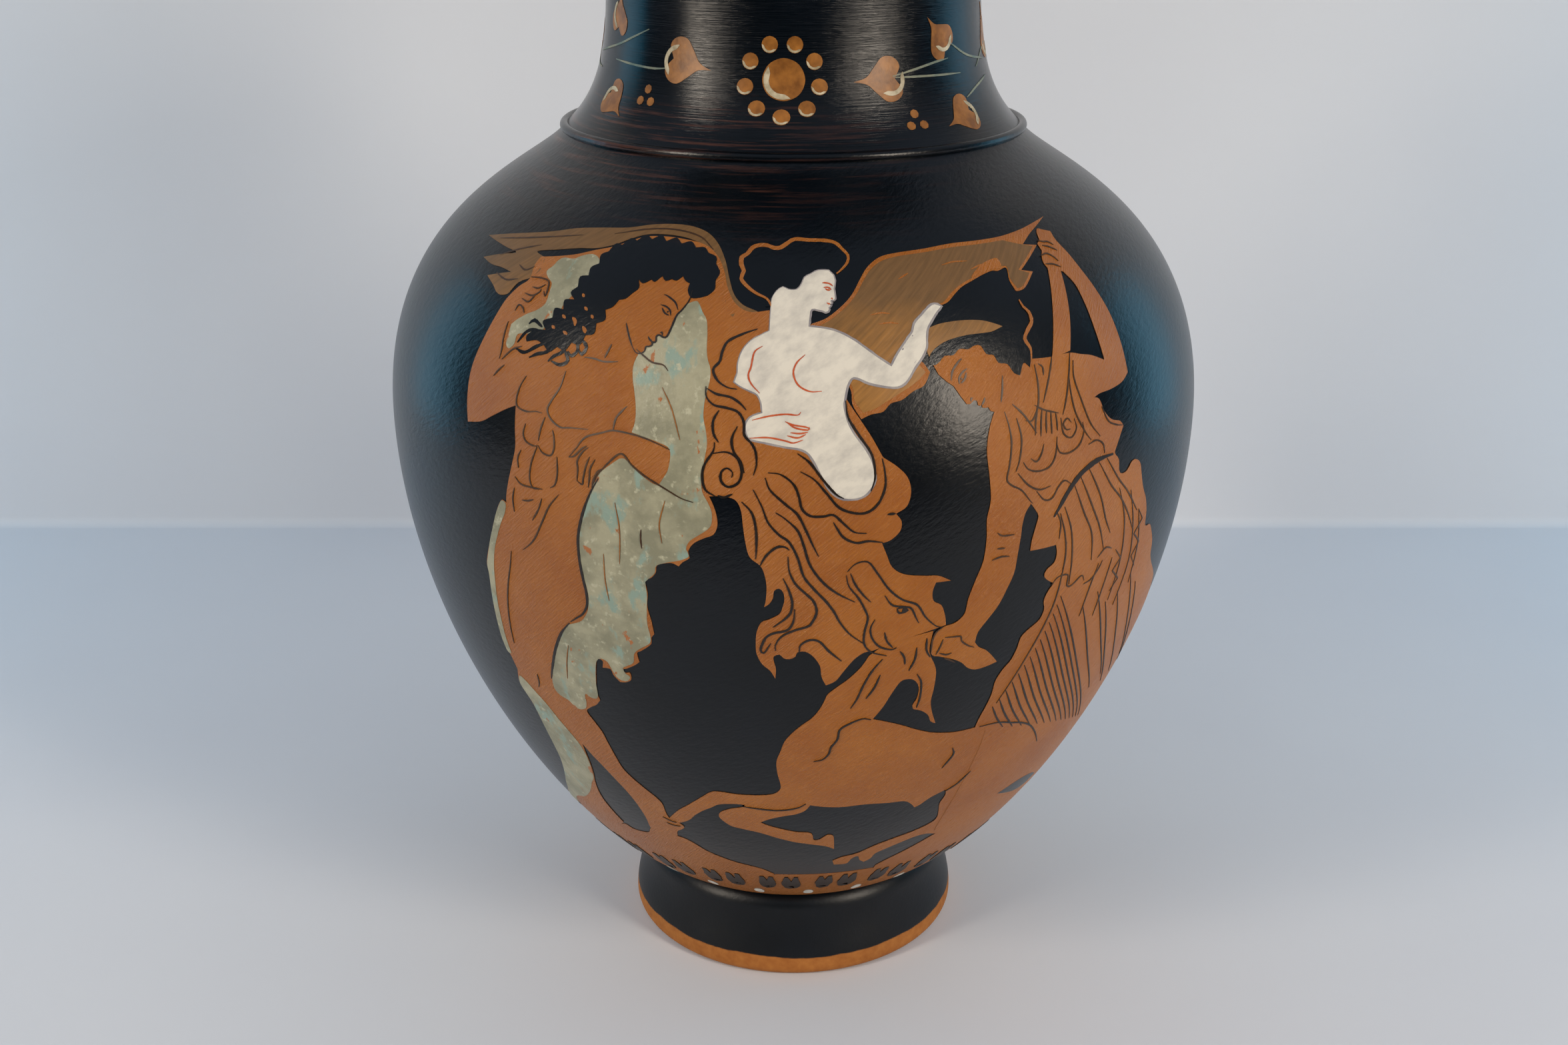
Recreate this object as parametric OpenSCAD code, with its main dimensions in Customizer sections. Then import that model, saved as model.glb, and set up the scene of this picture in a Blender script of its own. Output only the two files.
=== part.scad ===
// Wheel-thrown amphora with two ear handles on the neck.
// The pot is thrown as a belly, a neck, a mouth ring and a ring foot, which are luted
// together leather-hard. Clay beads cover the two main joints, and the handles are
// pulled rods pressed on to the neck and under the mouth.
// Millimetres, +Z up, origin at the centre of the face that the foot stands on.

/* [Belly] */
// Outer radius at the widest girth
belly_r = 117.4; // [100:0.2:130]
// Height of the widest girth
belly_z = 173.7; // [165:0.1:180]
// Wall thickness of the belly
belly_wall = 5.5; // [4:0.5:8]
// Thickness of the belly's floor
floor_t = 7; // [5:0.5:10]

/* [Neck] */
// Outer radius where the neck stands on the shoulder
neck_base_r = 64.5; // [62:0.5:68]
// Height of the joint between the shoulder and the neck
neck_base_z = 253; // [248:1:258]
// Outer radius at the waist of the neck
neck_waist_r = 51.5; // [46:0.5:54]
// Height of the waist of the neck
neck_waist_z = 296; // [290:1:304]
// Wall thickness of the neck
neck_wall = 5; // [4:0.5:7]

/* [Mouth] */
// Outer radius where the mouth ring joins the neck
mouth_base_r = 60; // [57:0.5:63]
// Height of the joint between the neck and the mouth ring
mouth_base_z = 337; // [334:1:342]
// Outer radius of the lip
lip_r = 79; // [74:0.5:84]
// Height of the whole pot
total_h = 360; // [354:1:366]

/* [Foot] */
// Outer radius of the foot at the ground
foot_r = 52; // [50:0.5:56]
// Height of the foot
foot_h = 27; // [24:1:30]
// Outer radius of the face that the belly stands on
foot_top_r = 44; // [42:0.5:46]
// Radius of the rounded edge round the bottom of the foot
foot_edge = 3; // [2:0.5:4]

/* [Joint beads] */
// Radius of the clay bead round the bottom of the neck
neck_bead_r = 1.3; // [1.2:0.1:2.4]
// Radius of the clay bead between the belly and the foot
foot_bead_r = 1.6; // [1.2:0.1:2.4]

/* [Handles] */
// Radius of the ear, measured to the middle of the rod
ear_r = 22; // [20:0.5:23]
// Radius of the rod that the ear is bent from
rod_r = 5.2; // [4:0.2:6]

/* [Hidden] */
$fn = 96;

slip_black = [0.045, 0.055, 0.075];

// A cubic Bezier curve as a list of [radius, height] points, its last point left out
function curve(a, b, c, d, steps) = [
    for (i = [0 : steps - 1])
        let (t = i / steps, s = 1 - t)
            s * s * s * a + 3 * s * s * t * b + 3 * s * t * t * c + t * t * t * d
];

// The unit normal of a polyline at point i, to its right when walking upwards
function normal_at(line, i) =
    let (
        a = line[max(i - 1, 0)],
        b = line[min(i + 1, len(line) - 1)],
        d = b - a
    ) [d[1], -d[0]] / norm(d);

// A polyline moved inwards, towards the axis, by the wall thickness
function inner_wall(line, wall) = [
    for (i = [0 : len(line) - 1]) line[i] - wall * normal_at(line, i)
];

function reversed(line) = [for (i = [len(line) - 1 : -1 : 0]) line[i]];

// Belly: from the foot joint up to the widest girth, then in over the shoulder
belly_low = [foot_top_r, foot_h];
belly_girth = [belly_r, belly_z];
belly_top = [neck_base_r, neck_base_z];
belly_line = concat(
    curve(belly_low, belly_low + [17, -1], belly_girth - [0, 77], belly_girth, 26),
    curve(belly_girth, belly_girth + [0, 58.7], belly_top + [7.5, -11], belly_top, 22),
    [belly_top]
);
shoulder_hole_r = neck_base_r - 7.5;

// Neck: concave from the shoulder joint up to the mouth joint
neck_low = belly_top;
neck_waist = [neck_waist_r, neck_waist_z];
neck_top = [mouth_base_r, mouth_base_z];
neck_line = concat(
    curve(neck_low, neck_low + [-10.2, 9], neck_waist - [0, 22], neck_waist, 18),
    curve(neck_waist, neck_waist + [0, 20], neck_top - [5, 8], neck_top, 12),
    [neck_top]
);

// Mouth: an echinus that swells out to a rounded lip
lip_round = 4.5;
mouth_line = concat(
    curve(
        neck_top, neck_top + [5, 7],
        [lip_r, total_h - 16], [lip_r, total_h - lip_round], 14
    ),
    [
        for (a = [0 : 15 : 90])
            [lip_r - lip_round, total_h - lip_round] + lip_round * [cos(a), sin(a)]
    ]
);
throat_r = mouth_base_r - neck_wall;

// Foot: a rounded bottom edge, a side that leans in a little and a rounded top edge
foot_lean = 2.6;
foot_round = foot_r - foot_lean - foot_top_r;
foot_line = concat(
    [[foot_r - foot_edge, 0]],
    [
        for (a = [-75 : 15 : -15])
            [foot_r - foot_edge, foot_edge] + foot_edge * [cos(a), sin(a)]
    ],
    curve(
        [foot_r, foot_edge], [foot_r, foot_h * 0.35],
        [foot_r - foot_lean, foot_h * 0.5], [foot_r - foot_lean, foot_h - foot_round], 6
    ),
    [
        for (a = [0 : 10 : 90])
            [foot_top_r, foot_h - foot_round] + foot_round * [cos(a), sin(a)]
    ]
);
foot_ring_r = 43;
foot_bore_r = 34;

// The ears stand on the neck, with their tops under the swell of the mouth
ear_x = neck_waist_r + 7.5;
ear_z = neck_waist_z + 23;
ear_start = -128;
ear_end = 92;

module ring_of(points) {
    rotate_extrude() polygon(points);
}

// Everything inside the outer surface of a line, down to the axis
module filled(line) {
    ring_of(concat([[0, line[0][1]]], line, [[0, line[len(line) - 1][1]]]));
}

module belly() {
    inside = inner_wall(belly_line, belly_wall);
    cavity = [for (p = inside) if (p[1] > foot_h + floor_t && p[1] < neck_base_z - 6) p];
    color(slip_black)
    ring_of(concat(
        [[0, foot_h]],
        belly_line,
        [[shoulder_hole_r, neck_base_z], [shoulder_hole_r, neck_base_z - 5]],
        reversed(cavity),
        [[cavity[0][0] - 8, foot_h + floor_t], [0, foot_h + floor_t]]
    ));
}

module foot() {
    color(slip_black)
    ring_of(concat(
        foot_line,
        [[foot_bore_r, foot_h], [foot_bore_r, foot_h * 0.6], [foot_ring_r, 0]]
    ));
}

module neck() {
    inside = inner_wall(neck_line, neck_wall);
    bore = [for (p = inside) if (p[1] > neck_base_z + 4 && p[1] < mouth_base_z - 2) p];
    color(slip_black)
    ring_of(concat(
        neck_line,
        [[throat_r, mouth_base_z]],
        reversed(bore),
        [[shoulder_hole_r, neck_base_z]]
    ));
}

module mouth_ring() {
    color(slip_black)
    ring_of(concat(
        mouth_line,
        reversed(curve(
            [throat_r, mouth_base_z], [throat_r + 5, mouth_base_z + 9],
            [lip_r - 14, total_h - 5], [lip_r - 9, total_h - 0.8], 10
        ))
    ));
}

// A round bead of clay laid over a joint, cut to sit on the parts that it covers
module bead(radius, height, bead_r) {
    rotate_extrude() translate([radius, height]) circle(r = bead_r, $fn = 32);
}

module neck_bead() {
    color(slip_black)
    difference() {
        bead(neck_base_r, neck_base_z + 0.2, neck_bead_r);
        filled(belly_line);
        filled(neck_line);
    }
}

module foot_bead() {
    color(slip_black)
    difference() {
        bead(foot_top_r + 0.8, foot_h + 0.2, foot_bead_r);
        filled(belly_line);
        filled(foot_line);
    }
}

// One ear: a round rod bent round an arc, cut to sit on the neck and under the mouth
module ear() {
    color(slip_black)
    difference() {
        translate([ear_x, 0, ear_z])
            rotate([90, 0, 0])
                rotate([0, 0, ear_start])
                    rotate_extrude(angle = ear_end - ear_start)
                        translate([ear_r, 0]) circle(r = rod_r, $fn = 32);
        filled(neck_line);
        filled(mouth_line);
    }
}

module left_handle() {
    mirror([1, 0, 0]) ear();
}

module right_handle() {
    ear();
}

belly();
foot();
neck();
mouth_ring();
neck_bead();
foot_bead();
left_handle();
right_handle();
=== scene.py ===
import math
import random

import bmesh
import bpy
import numpy as np
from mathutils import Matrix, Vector


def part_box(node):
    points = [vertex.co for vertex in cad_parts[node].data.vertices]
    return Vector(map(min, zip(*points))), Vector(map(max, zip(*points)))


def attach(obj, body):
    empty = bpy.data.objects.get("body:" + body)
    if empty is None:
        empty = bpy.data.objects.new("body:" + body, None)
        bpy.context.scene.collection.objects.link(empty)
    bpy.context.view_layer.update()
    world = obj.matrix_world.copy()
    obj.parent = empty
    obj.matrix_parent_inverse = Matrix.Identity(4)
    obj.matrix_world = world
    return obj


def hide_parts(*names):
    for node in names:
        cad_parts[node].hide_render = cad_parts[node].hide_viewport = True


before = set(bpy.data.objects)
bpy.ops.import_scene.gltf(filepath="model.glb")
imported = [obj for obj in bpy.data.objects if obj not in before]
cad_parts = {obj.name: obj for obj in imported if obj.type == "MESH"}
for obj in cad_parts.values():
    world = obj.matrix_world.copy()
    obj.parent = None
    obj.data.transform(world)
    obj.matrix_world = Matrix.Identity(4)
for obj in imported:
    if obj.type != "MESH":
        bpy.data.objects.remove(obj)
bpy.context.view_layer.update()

MM = 0.001

# ---------------------------------------------------------------- the thrown shapes, in mm


def box_mm(node):
    """The lowest and highest corners of a CAD node, in mm."""
    low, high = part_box(node)
    return low / MM, high / MM


BELLY_LOW, BELLY_HIGH = box_mm("belly")
NECK_LOW, NECK_HIGH = box_mm("neck")
MOUTH_LOW, MOUTH_HIGH = box_mm("mouth_ring")
FOOT_HIGH = box_mm("foot")[1]

GIRTH_R, GIRTH_Z = BELLY_HIGH.x, 173.7
NECK_BASE_R = NECK_HIGH.x
SHOULDER_HOLE_R = NECK_BASE_R - 7.5
WAIST_R, WAIST_Z = 51.5, 296
MOUTH_BASE_R = 60
FOOT_TOP_R = 44
FOOT_BORE_R, FOOT_RING_R = 34, 43
BELLY_WALL = 5.5
FLOOR = 7
NECK_WALL = 5
LIP_ROUND = 4.5
FOOT_EDGE = 3
FOOT_LEAN = 2.6
BEAD_LIFT = 0.2      # height of a bead over its joint
CLAY_LIP = 6.6       # height to which the foot is left bare

TURNS = 256          # facets round a thrown piece


def bezier(a, b, c, d, steps):
    """A cubic Bezier curve as (radius, height) points, its last point left out."""
    t = np.linspace(0, 1, steps, endpoint=False)[:, None]
    s = 1 - t
    a, b, c, d = (np.array(p, float) for p in (a, b, c, d))
    return s**3 * a + 3 * s * s * t * b + 3 * s * t * t * c + t**3 * d


def arc(centre, radius, start, end, steps):
    """Points of a circular arc, from start to end degrees."""
    angles = np.radians(np.linspace(start, end, steps + 1))
    return np.column_stack([centre[0] + radius * np.cos(angles), centre[1] + radius * np.sin(angles)])


def normals_of(line):
    """Unit normals of a profile, to its right when walking upwards."""
    along = np.gradient(line, axis=0)
    along /= np.linalg.norm(along, axis=1)[:, None]
    return np.column_stack([along[:, 1], -along[:, 0]])


def belly_profile():
    """The outside of the belly, from the foot joint up to the neck joint."""
    low = np.array([FOOT_TOP_R, BELLY_LOW.z])
    girth = np.array([GIRTH_R, GIRTH_Z])
    top = np.array([NECK_BASE_R, BELLY_HIGH.z])
    return np.vstack([
        bezier(low, low + (17, -1), girth - (0, 77), girth, 90),
        bezier(girth, girth + (0, 58.7), top + (7.5, -11), top, 70),
        [top],
    ])


def neck_profile():
    """The outside of the neck, from the shoulder up to the mouth ring."""
    low = np.array([NECK_BASE_R, NECK_LOW.z])
    waist = np.array([WAIST_R, WAIST_Z])
    top = np.array([MOUTH_BASE_R, NECK_HIGH.z])
    return np.vstack([
        bezier(low, low + (-10.2, 9), waist - (0, 22), waist, 50),
        bezier(waist, waist + (0, 20), top - (5, 8), top, 30),
        [top],
    ])


class Wall:
    """The outside of a thrown piece as a sheet to paint on: u mm round it, v mm up along it."""

    def __init__(self, profile, mm_per_degree):
        self.r, self.z = profile[:, 0], profile[:, 1]
        self.v = np.concatenate([[0], np.cumsum(np.hypot(np.diff(self.r), np.diff(self.z)))])
        self.out = normals_of(profile)
        self.mm_per_degree = mm_per_degree

    def stretch(self, v):
        """Real mm round the wall at height v for each mm of u."""
        return math.radians(1 / self.mm_per_degree) * float(np.interp(v, self.v, self.r))

    def outward(self, u, v):
        """The wall's normal at u, v."""
        turn = math.radians(u / self.mm_per_degree)
        out_r = float(np.interp(v, self.v, self.out[:, 0]))
        out_z = float(np.interp(v, self.v, self.out[:, 1]))
        return Vector((out_r * math.sin(turn), -out_r * math.cos(turn), out_z)).normalized()

    def place(self, u, v, lift):
        """The point at u, v, lifted off the wall, in metres."""
        turn = math.radians(u / self.mm_per_degree)
        r = float(np.interp(v, self.v, self.r))
        z = float(np.interp(v, self.v, self.z))
        return (Vector((r * math.sin(turn), -r * math.cos(turn), z)) + lift * self.outward(u, v)) * MM


BELLY = Wall(belly_profile(), 2.05)      # 2.05 mm to a degree at the girth
NECK = Wall(neck_profile(), 0.92)        # 0.92 mm to a degree at the waist

# ---------------------------------------------------------------- materials


def linear(code):
    """An sRGB hex colour as linear red, green, blue and alpha."""
    parts = [int(code[i:i + 2], 16) / 255 for i in (0, 2, 4)]
    return [p / 12.92 if p <= 0.04045 else ((p + 0.055) / 1.055) ** 2.4 for p in parts] + [1]


def add(tree, kind, inputs=None, **settings):
    """A node with its settings; an input is a value or the socket that feeds it."""
    made = tree.nodes.new(kind)
    for name, value in settings.items():
        setattr(made, name, value)
    for key, value in (inputs or {}).items():
        if isinstance(value, bpy.types.NodeSocket):
            tree.links.new(value, made.inputs[key])
        else:
            made.inputs[key].default_value = value
    return made


# The Mix node's sockets go by number: the two numbers and the two colours that it mixes, and its colour
NUMBER_A, NUMBER_B, COLOUR_A, COLOUR_B, COLOUR_OUT = 2, 3, 6, 7, 2

FINE_GRAIN = 1.1     # mm between the grains that roughen a brushed slip


def new_material(name):
    """An empty material and its node tree."""
    material = bpy.data.materials.new(name)
    material.use_nodes = True
    material.node_tree.nodes.clear()
    return material, material.node_tree


def streaks(tree, source, across, detail=4, turn=(0, 0, 0)):
    """Noise drawn out along an axis: across holds its size in mm along each axis, after the turn."""
    where = add(tree, "ShaderNodeTexCoord").outputs[source]
    turned = add(tree, "ShaderNodeMapping", {"Vector": where, "Rotation": turn})
    scale = [1 / (size * MM) for size in across]
    sized = add(tree, "ShaderNodeMapping", {"Vector": turned.outputs[0], "Scale": scale})
    settings = {"Vector": sized.outputs[0], "Scale": 1, "Detail": detail, "Roughness": 0.6}
    return add(tree, "ShaderNodeTexNoise", settings).outputs["Fac"]


def blotches(tree, size, detail=4):
    """Even noise of a size in mm."""
    return streaks(tree, "Object", (size, size, size), detail)


def tone(tree, pattern, low, high, first, last):
    """A colour that goes from first to last as the pattern goes from low to high."""
    share = add(tree, "ShaderNodeMapRange", {"Value": pattern, "From Min": low, "From Max": high})
    colours = {"Factor": share.outputs[0], COLOUR_A: first, COLOUR_B: last}
    return add(tree, "ShaderNodeMix", colours, data_type="RGBA").outputs[COLOUR_OUT]


def height_between(tree, pattern_size, low, high, ragged):
    """1 above the height high, 0 below low, in mm, with an edge made ragged by a pattern."""
    place = add(tree, "ShaderNodeTexCoord").outputs["Object"]
    z = add(tree, "ShaderNodeSeparateXYZ", {0: place}).outputs["Z"]
    ends = {"From Min": 0.3, "From Max": 0.7, "To Min": -ragged * MM, "To Max": ragged * MM}
    shift = add(tree, "ShaderNodeMapRange", {"Value": blotches(tree, pattern_size), **ends}).outputs[0]
    moved = add(tree, "ShaderNodeMath", {0: z, 1: shift}, operation="ADD").outputs[0]
    heights = {"Value": moved, "From Min": low * MM, "From Max": high * MM}
    return add(tree, "ShaderNodeMapRange", heights).outputs[0]


def slip_surface(tree, colour, roughness, relief, depth_mm, ior):
    """The shader and output of a fired slip, with its relief, depth_mm deep, as a bump."""
    normal = add(tree, "ShaderNodeBump", {"Height": relief, "Distance": depth_mm * MM}).outputs[0]
    settings = {"Base Color": colour, "Roughness": roughness, "Normal": normal, "IOR": ior}
    shader = add(tree, "ShaderNodeBsdfPrincipled", settings)
    add(tree, "ShaderNodeOutputMaterial", {0: shader.outputs[0]})


def cloudy_black(tree):
    """Blue-black slip, a little paler in clouds where it lay thinner."""
    return tone(tree, blotches(tree, 30, 3), 0.35, 0.7, linear("03070c"), linear("080e15"))


def worn_black(tree):
    """Blue-black slip, rubbed to red-brown streaks near the shoulder, mostly on the left."""
    black = cloudy_black(tree)
    streaked = {"Value": streaks(tree, "Object", (26, 26, 0.8), 6), "From Min": 0.5, "From Max": 0.72}
    rubbed = add(tree, "ShaderNodeMapRange", streaked).outputs[0]
    low = height_between(tree, 20, 236, 254, 6)
    high = height_between(tree, 12, 268, 259, 5)
    place = add(tree, "ShaderNodeTexCoord").outputs["Object"]
    x = add(tree, "ShaderNodeSeparateXYZ", {0: place}).outputs["X"]
    sides = {"Value": x, "From Min": 30 * MM, "From Max": -30 * MM, "To Min": 0.12}
    left = add(tree, "ShaderNodeMapRange", sides).outputs[0]
    worn = rubbed
    for share in (low, high, left):
        worn = add(tree, "ShaderNodeMath", {0: worn, 1: share}, operation="MULTIPLY").outputs[0]
    colours = {"Factor": worn, COLOUR_A: black, COLOUR_B: linear("5a382c")}
    return add(tree, "ShaderNodeMix", colours, data_type="RGBA").outputs[COLOUR_OUT]


def black_gloss_slip():
    """Burnished black slip: a deep gloss with a dabbed skin on the belly and turned rings on the neck."""
    material, tree = new_material("black_gloss_slip")
    rings = streaks(tree, "Object", (30, 30, 0.32))
    dabs = streaks(tree, "Object", (2.4, 2.4, 1), turn=(0, math.radians(30), 0))
    on_neck = height_between(tree, 12, NECK_LOW.z - 1, NECK_LOW.z + 3, 1)
    skins = {"Factor": on_neck, NUMBER_A: dabs, NUMBER_B: rings}
    relief = add(tree, "ShaderNodeMix", skins).outputs[0]
    gloss = {"Value": on_neck, "To Min": 0.27, "To Max": 0.19}
    rough = add(tree, "ShaderNodeMapRange", gloss).outputs[0]
    slip_surface(tree, worn_black(tree), rough, relief, 0.12, 1.37)
    return material


def black_over_clay():
    """The foot: black slip brushed down to a bare clay lip, its lower edge a little wavy."""
    material, tree = new_material("black_slip_over_bare_clay")
    clay = tone(tree, blotches(tree, 3), 0.3, 0.7, linear("975a24"), linear("ad6f33"))
    covered = height_between(tree, 22, CLAY_LIP - 0.2, CLAY_LIP + 0.2, 0.5)
    colours = {"Factor": covered, COLOUR_A: clay, COLOUR_B: cloudy_black(tree)}
    colour = add(tree, "ShaderNodeMix", colours, data_type="RGBA").outputs[COLOUR_OUT]
    gloss = {"Value": covered, "To Min": 0.75, "To Max": 0.38}
    rough = add(tree, "ShaderNodeMapRange", gloss).outputs[0]
    slip_surface(tree, colour, rough, blotches(tree, FINE_GRAIN), 0.05, 1.37)
    return material


def bare_clay():
    """Fired clay left bare inside the pot: matt orange-brown with throwing rings."""
    material, tree = new_material("bare_fired_clay")
    rings = streaks(tree, "Object", (60, 60, 5), 3)
    colour = tone(tree, rings, 0.3, 0.7, linear("9c5a30"), linear("b77443"))
    slip_surface(tree, colour, 0.8, rings, 0.6, 1.45)
    return material


def orange_slip():
    """Ochre slip brushed on in thin slanting strokes: burnt orange, with a painted highlight as lighter
    streaks along the strokes, and a soft sheen.
    """
    material, tree = new_material("orange_slip")
    strokes = streaks(tree, "UV", (5, 0.5, 1), turn=(0, 0, math.radians(-42)))
    colour = tone(tree, blotches(tree, 24), 0.3, 0.72, linear("98550f"), linear("aa661b"))
    # Lighter streaks along the brush strokes: a painted highlight, not the slip's own colour
    colour = tone(tree, strokes, 0.5, 1, colour, linear("bd7d3a"))
    strokes_and_grit = {0: strokes, 1: 2, 2: blotches(tree, 0.8)}
    relief = add(tree, "ShaderNodeMath", strokes_and_grit, operation="MULTIPLY_ADD").outputs[0]
    sheen = {"Value": strokes, "From Min": 0.3, "From Max": 0.7, "To Min": 0.4, "To Max": 0.24}
    rough = add(tree, "ShaderNodeMapRange", sheen).outputs[0]
    slip_surface(tree, colour, rough, relief, 0.24, 1.47)
    return material


def brushed_slip(name, dark, light, roughness, size):
    """A brushed-on slip that clouds between two tones."""
    material, tree = new_material(name)
    colour = tone(tree, blotches(tree, size, 5), 0.35, 0.65, linear(dark), linear(light))
    slip_surface(tree, colour, roughness, blotches(tree, FINE_GRAIN), 0.04, 1.45)
    return material


def cloak_slip():
    """Chalky grey-green slip, cloudy, with bluish patches, pale flecks and flakes off to the orange."""
    material, tree = new_material("grey_green_slip")
    colour = tone(tree, blotches(tree, 10, 8), 0.4, 0.6, linear("87866f"), linear("a5a288"))
    colour = tone(tree, streaks(tree, "UV", (7, 12, 1), 7), 0.55, 0.62, colour, linear("8a9f92"))
    colour = tone(tree, blotches(tree, 2), 0.58, 0.7, colour, linear("b7b59b"))
    colour = tone(tree, streaks(tree, "UV", (5, 8, 1), 8), 0.64, 0.66, colour, linear("a5683a"))
    slip_surface(tree, colour, 0.42, blotches(tree, 1.6, 5), 0.2, 1.45)
    return material


def wing_slip():
    """Thin olive-brown slip drawn out in feather strokes, golden low down where it is thinnest."""
    material, tree = new_material("olive_slip")
    feathers = streaks(tree, "UV", (12, 1, 1), 5, (0, 0, math.radians(-40)))
    brown = tone(tree, feathers, 0.3, 0.75, linear("634928"), linear("7f5d36"))
    golden = tone(tree, feathers, 0.3, 0.75, linear("835a22"), linear("ab7632"))
    low = height_between(tree, 8, 226, 212, 3)
    colours = {"Factor": low, COLOUR_A: brown, COLOUR_B: golden}
    colour = add(tree, "ShaderNodeMix", colours, data_type="RGBA").outputs[COLOUR_OUT]
    slip_surface(tree, colour, 0.45, feathers, 0.06, 1.45)
    return material


def white_slip():
    """Thick chalk-white slip, dabbed on, with grey where it dried thin."""
    material, tree = new_material("white_slip")
    dabs = streaks(tree, "UV", (6, 3.5, 1), 5, (0, 0, math.radians(-30)))
    colour = tone(tree, dabs, 0.3, 0.6, linear("c2beb5"), linear("dfdacd"))
    slip_surface(tree, colour, 0.55, dabs, 0.12, 1.45)
    return material


def studio_card():
    """The matt pale table and wall, faintly cloudy."""
    material, tree = new_material("pale_card")
    colour = tone(tree, blotches(tree, 300, 3), 0.3, 0.7, linear("dbdfe5"), linear("d6dae1"))
    slip_surface(tree, colour, 0.75, blotches(tree, 3), 0.02, 1.45)
    return material


BLACK = black_gloss_slip()
FOOT_BLACK = black_over_clay()
CLAY = bare_clay()
ORANGE = orange_slip()
WHITE = white_slip()
CLOAK_GREEN = cloak_slip()
OLIVE = wing_slip()
# Golden brown, laid thick enough to hide the black
OCHRE = brushed_slip("ochre_slip", "754714", "a36a2a", 0.4, 4)
# Cream worn so thin that the ochre greys it
CREAM = brushed_slip("thin_cream_slip", "94886b", "cfc4a8", 0.45, 3)
# Nearly black, a full brush
DARK_LINE = brushed_slip("dark_line_slip", "140e0a", "20160f", 0.4, 8)
# Black slip thinned with water: brown, fading along the line
THIN_LINE = brushed_slip("thinned_line_slip", "2e1d0c", "4a2f14", 0.42, 3)
# White so thin that the black turns it a cold grey
GREY_EDGE = brushed_slip("thin_white_slip", "7f7b80", "a09a98", 0.5, 4)
# Matt brick red over the white
RED_LINE = brushed_slip("red_line_slip", "b54a22", "c86035", 0.5, 8)
# Grey-green, a dry brush
TENDRIL = brushed_slip("tendril_slip", "5f6f66", "8d8c74", 0.5, 6)

# ---------------------------------------------------------------- making pieces


def finish(name, bm, materials, replaces=(), normals=None):
    """Turn the mesh into a named piece that rides on the pot."""
    mesh = bpy.data.meshes.new(name)
    bm.to_mesh(mesh)
    bm.free()
    for material in materials:
        mesh.materials.append(material)
    mesh.shade_smooth()
    if normals:
        mesh.normals_split_custom_set_from_vertices(normals)
    else:
        mesh.set_sharp_from_angle(angle=math.radians(50))
    piece = bpy.data.objects.new(name, mesh)
    bpy.context.collection.objects.link(piece)
    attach(piece, "root")
    if replaces:
        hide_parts(*replaces)
    return piece


def lathe(name, outline, materials, replaces=(), wall=None):
    """Spin a closed (radius, height) outline in mm; a second material goes on faces turned to the axis."""
    bm = bmesh.new()
    ring = [bm.verts.new((r * MM, 0, z * MM)) for r, z in outline]
    edges = [bm.edges.new((a, b)) for a, b in zip(ring, ring[1:] + ring[:1])]
    bmesh.ops.spin(
        bm, geom=ring + edges, cent=(0, 0, 0), axis=(0, 0, 1), angle=math.tau,
        steps=TURNS, use_merge=True,
    )
    bmesh.ops.remove_doubles(bm, verts=bm.verts, dist=0.01 * MM)
    bmesh.ops.recalc_face_normals(bm, faces=bm.faces)
    uv = bm.loops.layers.uv.new("Paint") if wall else None
    for face in bm.faces:
        middle = face.calc_center_median()
        if len(materials) > 1 and face.normal.dot(Vector((middle.x, middle.y, 0))) < -1e-4:
            face.material_index = 1
        if wall:
            turn = math.atan2(middle.x, -middle.y)
            for loop in face.loops:
                x, y, z = loop.vert.co
                step = (math.atan2(x, -y) - turn + math.pi) % math.tau - math.pi
                u = math.degrees(turn + step) * wall.mm_per_degree
                loop[uv].uv = (u * MM, float(np.interp(z / MM, wall.z, wall.v)) * MM)
    return finish(name, bm, materials, replaces)


def smooth(points, closed, step=1.0):
    """A curve through the points, in short steps; a third value of 1 makes a point a corner."""
    flat = [Vector(p[:2]) for p in points]
    corners = [i for i, p in enumerate(points) if len(p) > 2]
    count = len(flat)
    order = list(range(count))
    if closed:
        first = corners[0] if corners else 0
        order = [(first + i) % count for i in range(count)] + [first]
    runs, run = [], [order[0]]
    for index in order[1:]:
        run.append(index)
        if index in corners:
            runs.append(run)
            run = [index]
    if len(run) > 1:
        runs.append(run)
    looped = closed and not corners
    curve = []
    for run in runs:
        knots = [flat[i] for i in run]
        before = knots[-2] if looped else 2 * knots[0] - knots[1]
        after = knots[1] if looped else 2 * knots[-1] - knots[-2]
        knots = [before] + knots + [after]
        for p0, p1, p2, p3 in zip(knots, knots[1:], knots[2:], knots[3:]):
            pieces = max(1, math.ceil((p2 - p1).length / step))
            for k in range(pieces):
                t = k / pieces
                bend = (2 * p0 - 5 * p1 + 4 * p2 - p3) * t * t + (3 * p1 - p0 - 3 * p2 + p3) * t**3
                curve.append(0.5 * (2 * p1 + (p2 - p0) * t + bend))
    return curve if closed else curve + [flat[-1]]


def fill(bm, outline, lift):
    """A flat area inside a closed outline."""
    verts = [bm.verts.new((p.x, p.y, lift)) for p in smooth(outline, True)]
    face = bm.faces.new(verts)
    face.normal_update()
    bmesh.ops.triangulate(bm, faces=[face], ngon_method="EAR_CLIP")


def stroke(bm, wall, points, width, lift, hand):
    """A brush line that thins out at its ends."""
    line = smooth(points, False, min(1.2, width * 1.2))
    total = len(line) - 1
    sides = []
    for i, here in enumerate(line):
        along = line[min(i + 1, total)] - line[max(i - 1, 0)]
        squeeze = wall.stretch(here.y)
        along = Vector((along.x * squeeze, along.y)).normalized()
        press = min(1, 0.35 + 2.6 * min(i, total - i) / total) * hand.uniform(0.88, 1.12)
        across = Vector((-along.y / squeeze, along.x)) * width / 2 * press
        sides.append([bm.verts.new((p.x, p.y, lift)) for p in (here + across, here - across)])
    for (a, b), (c, d) in zip(sides, sides[1:]):
        bm.faces.new((b, d, c, a))


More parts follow.
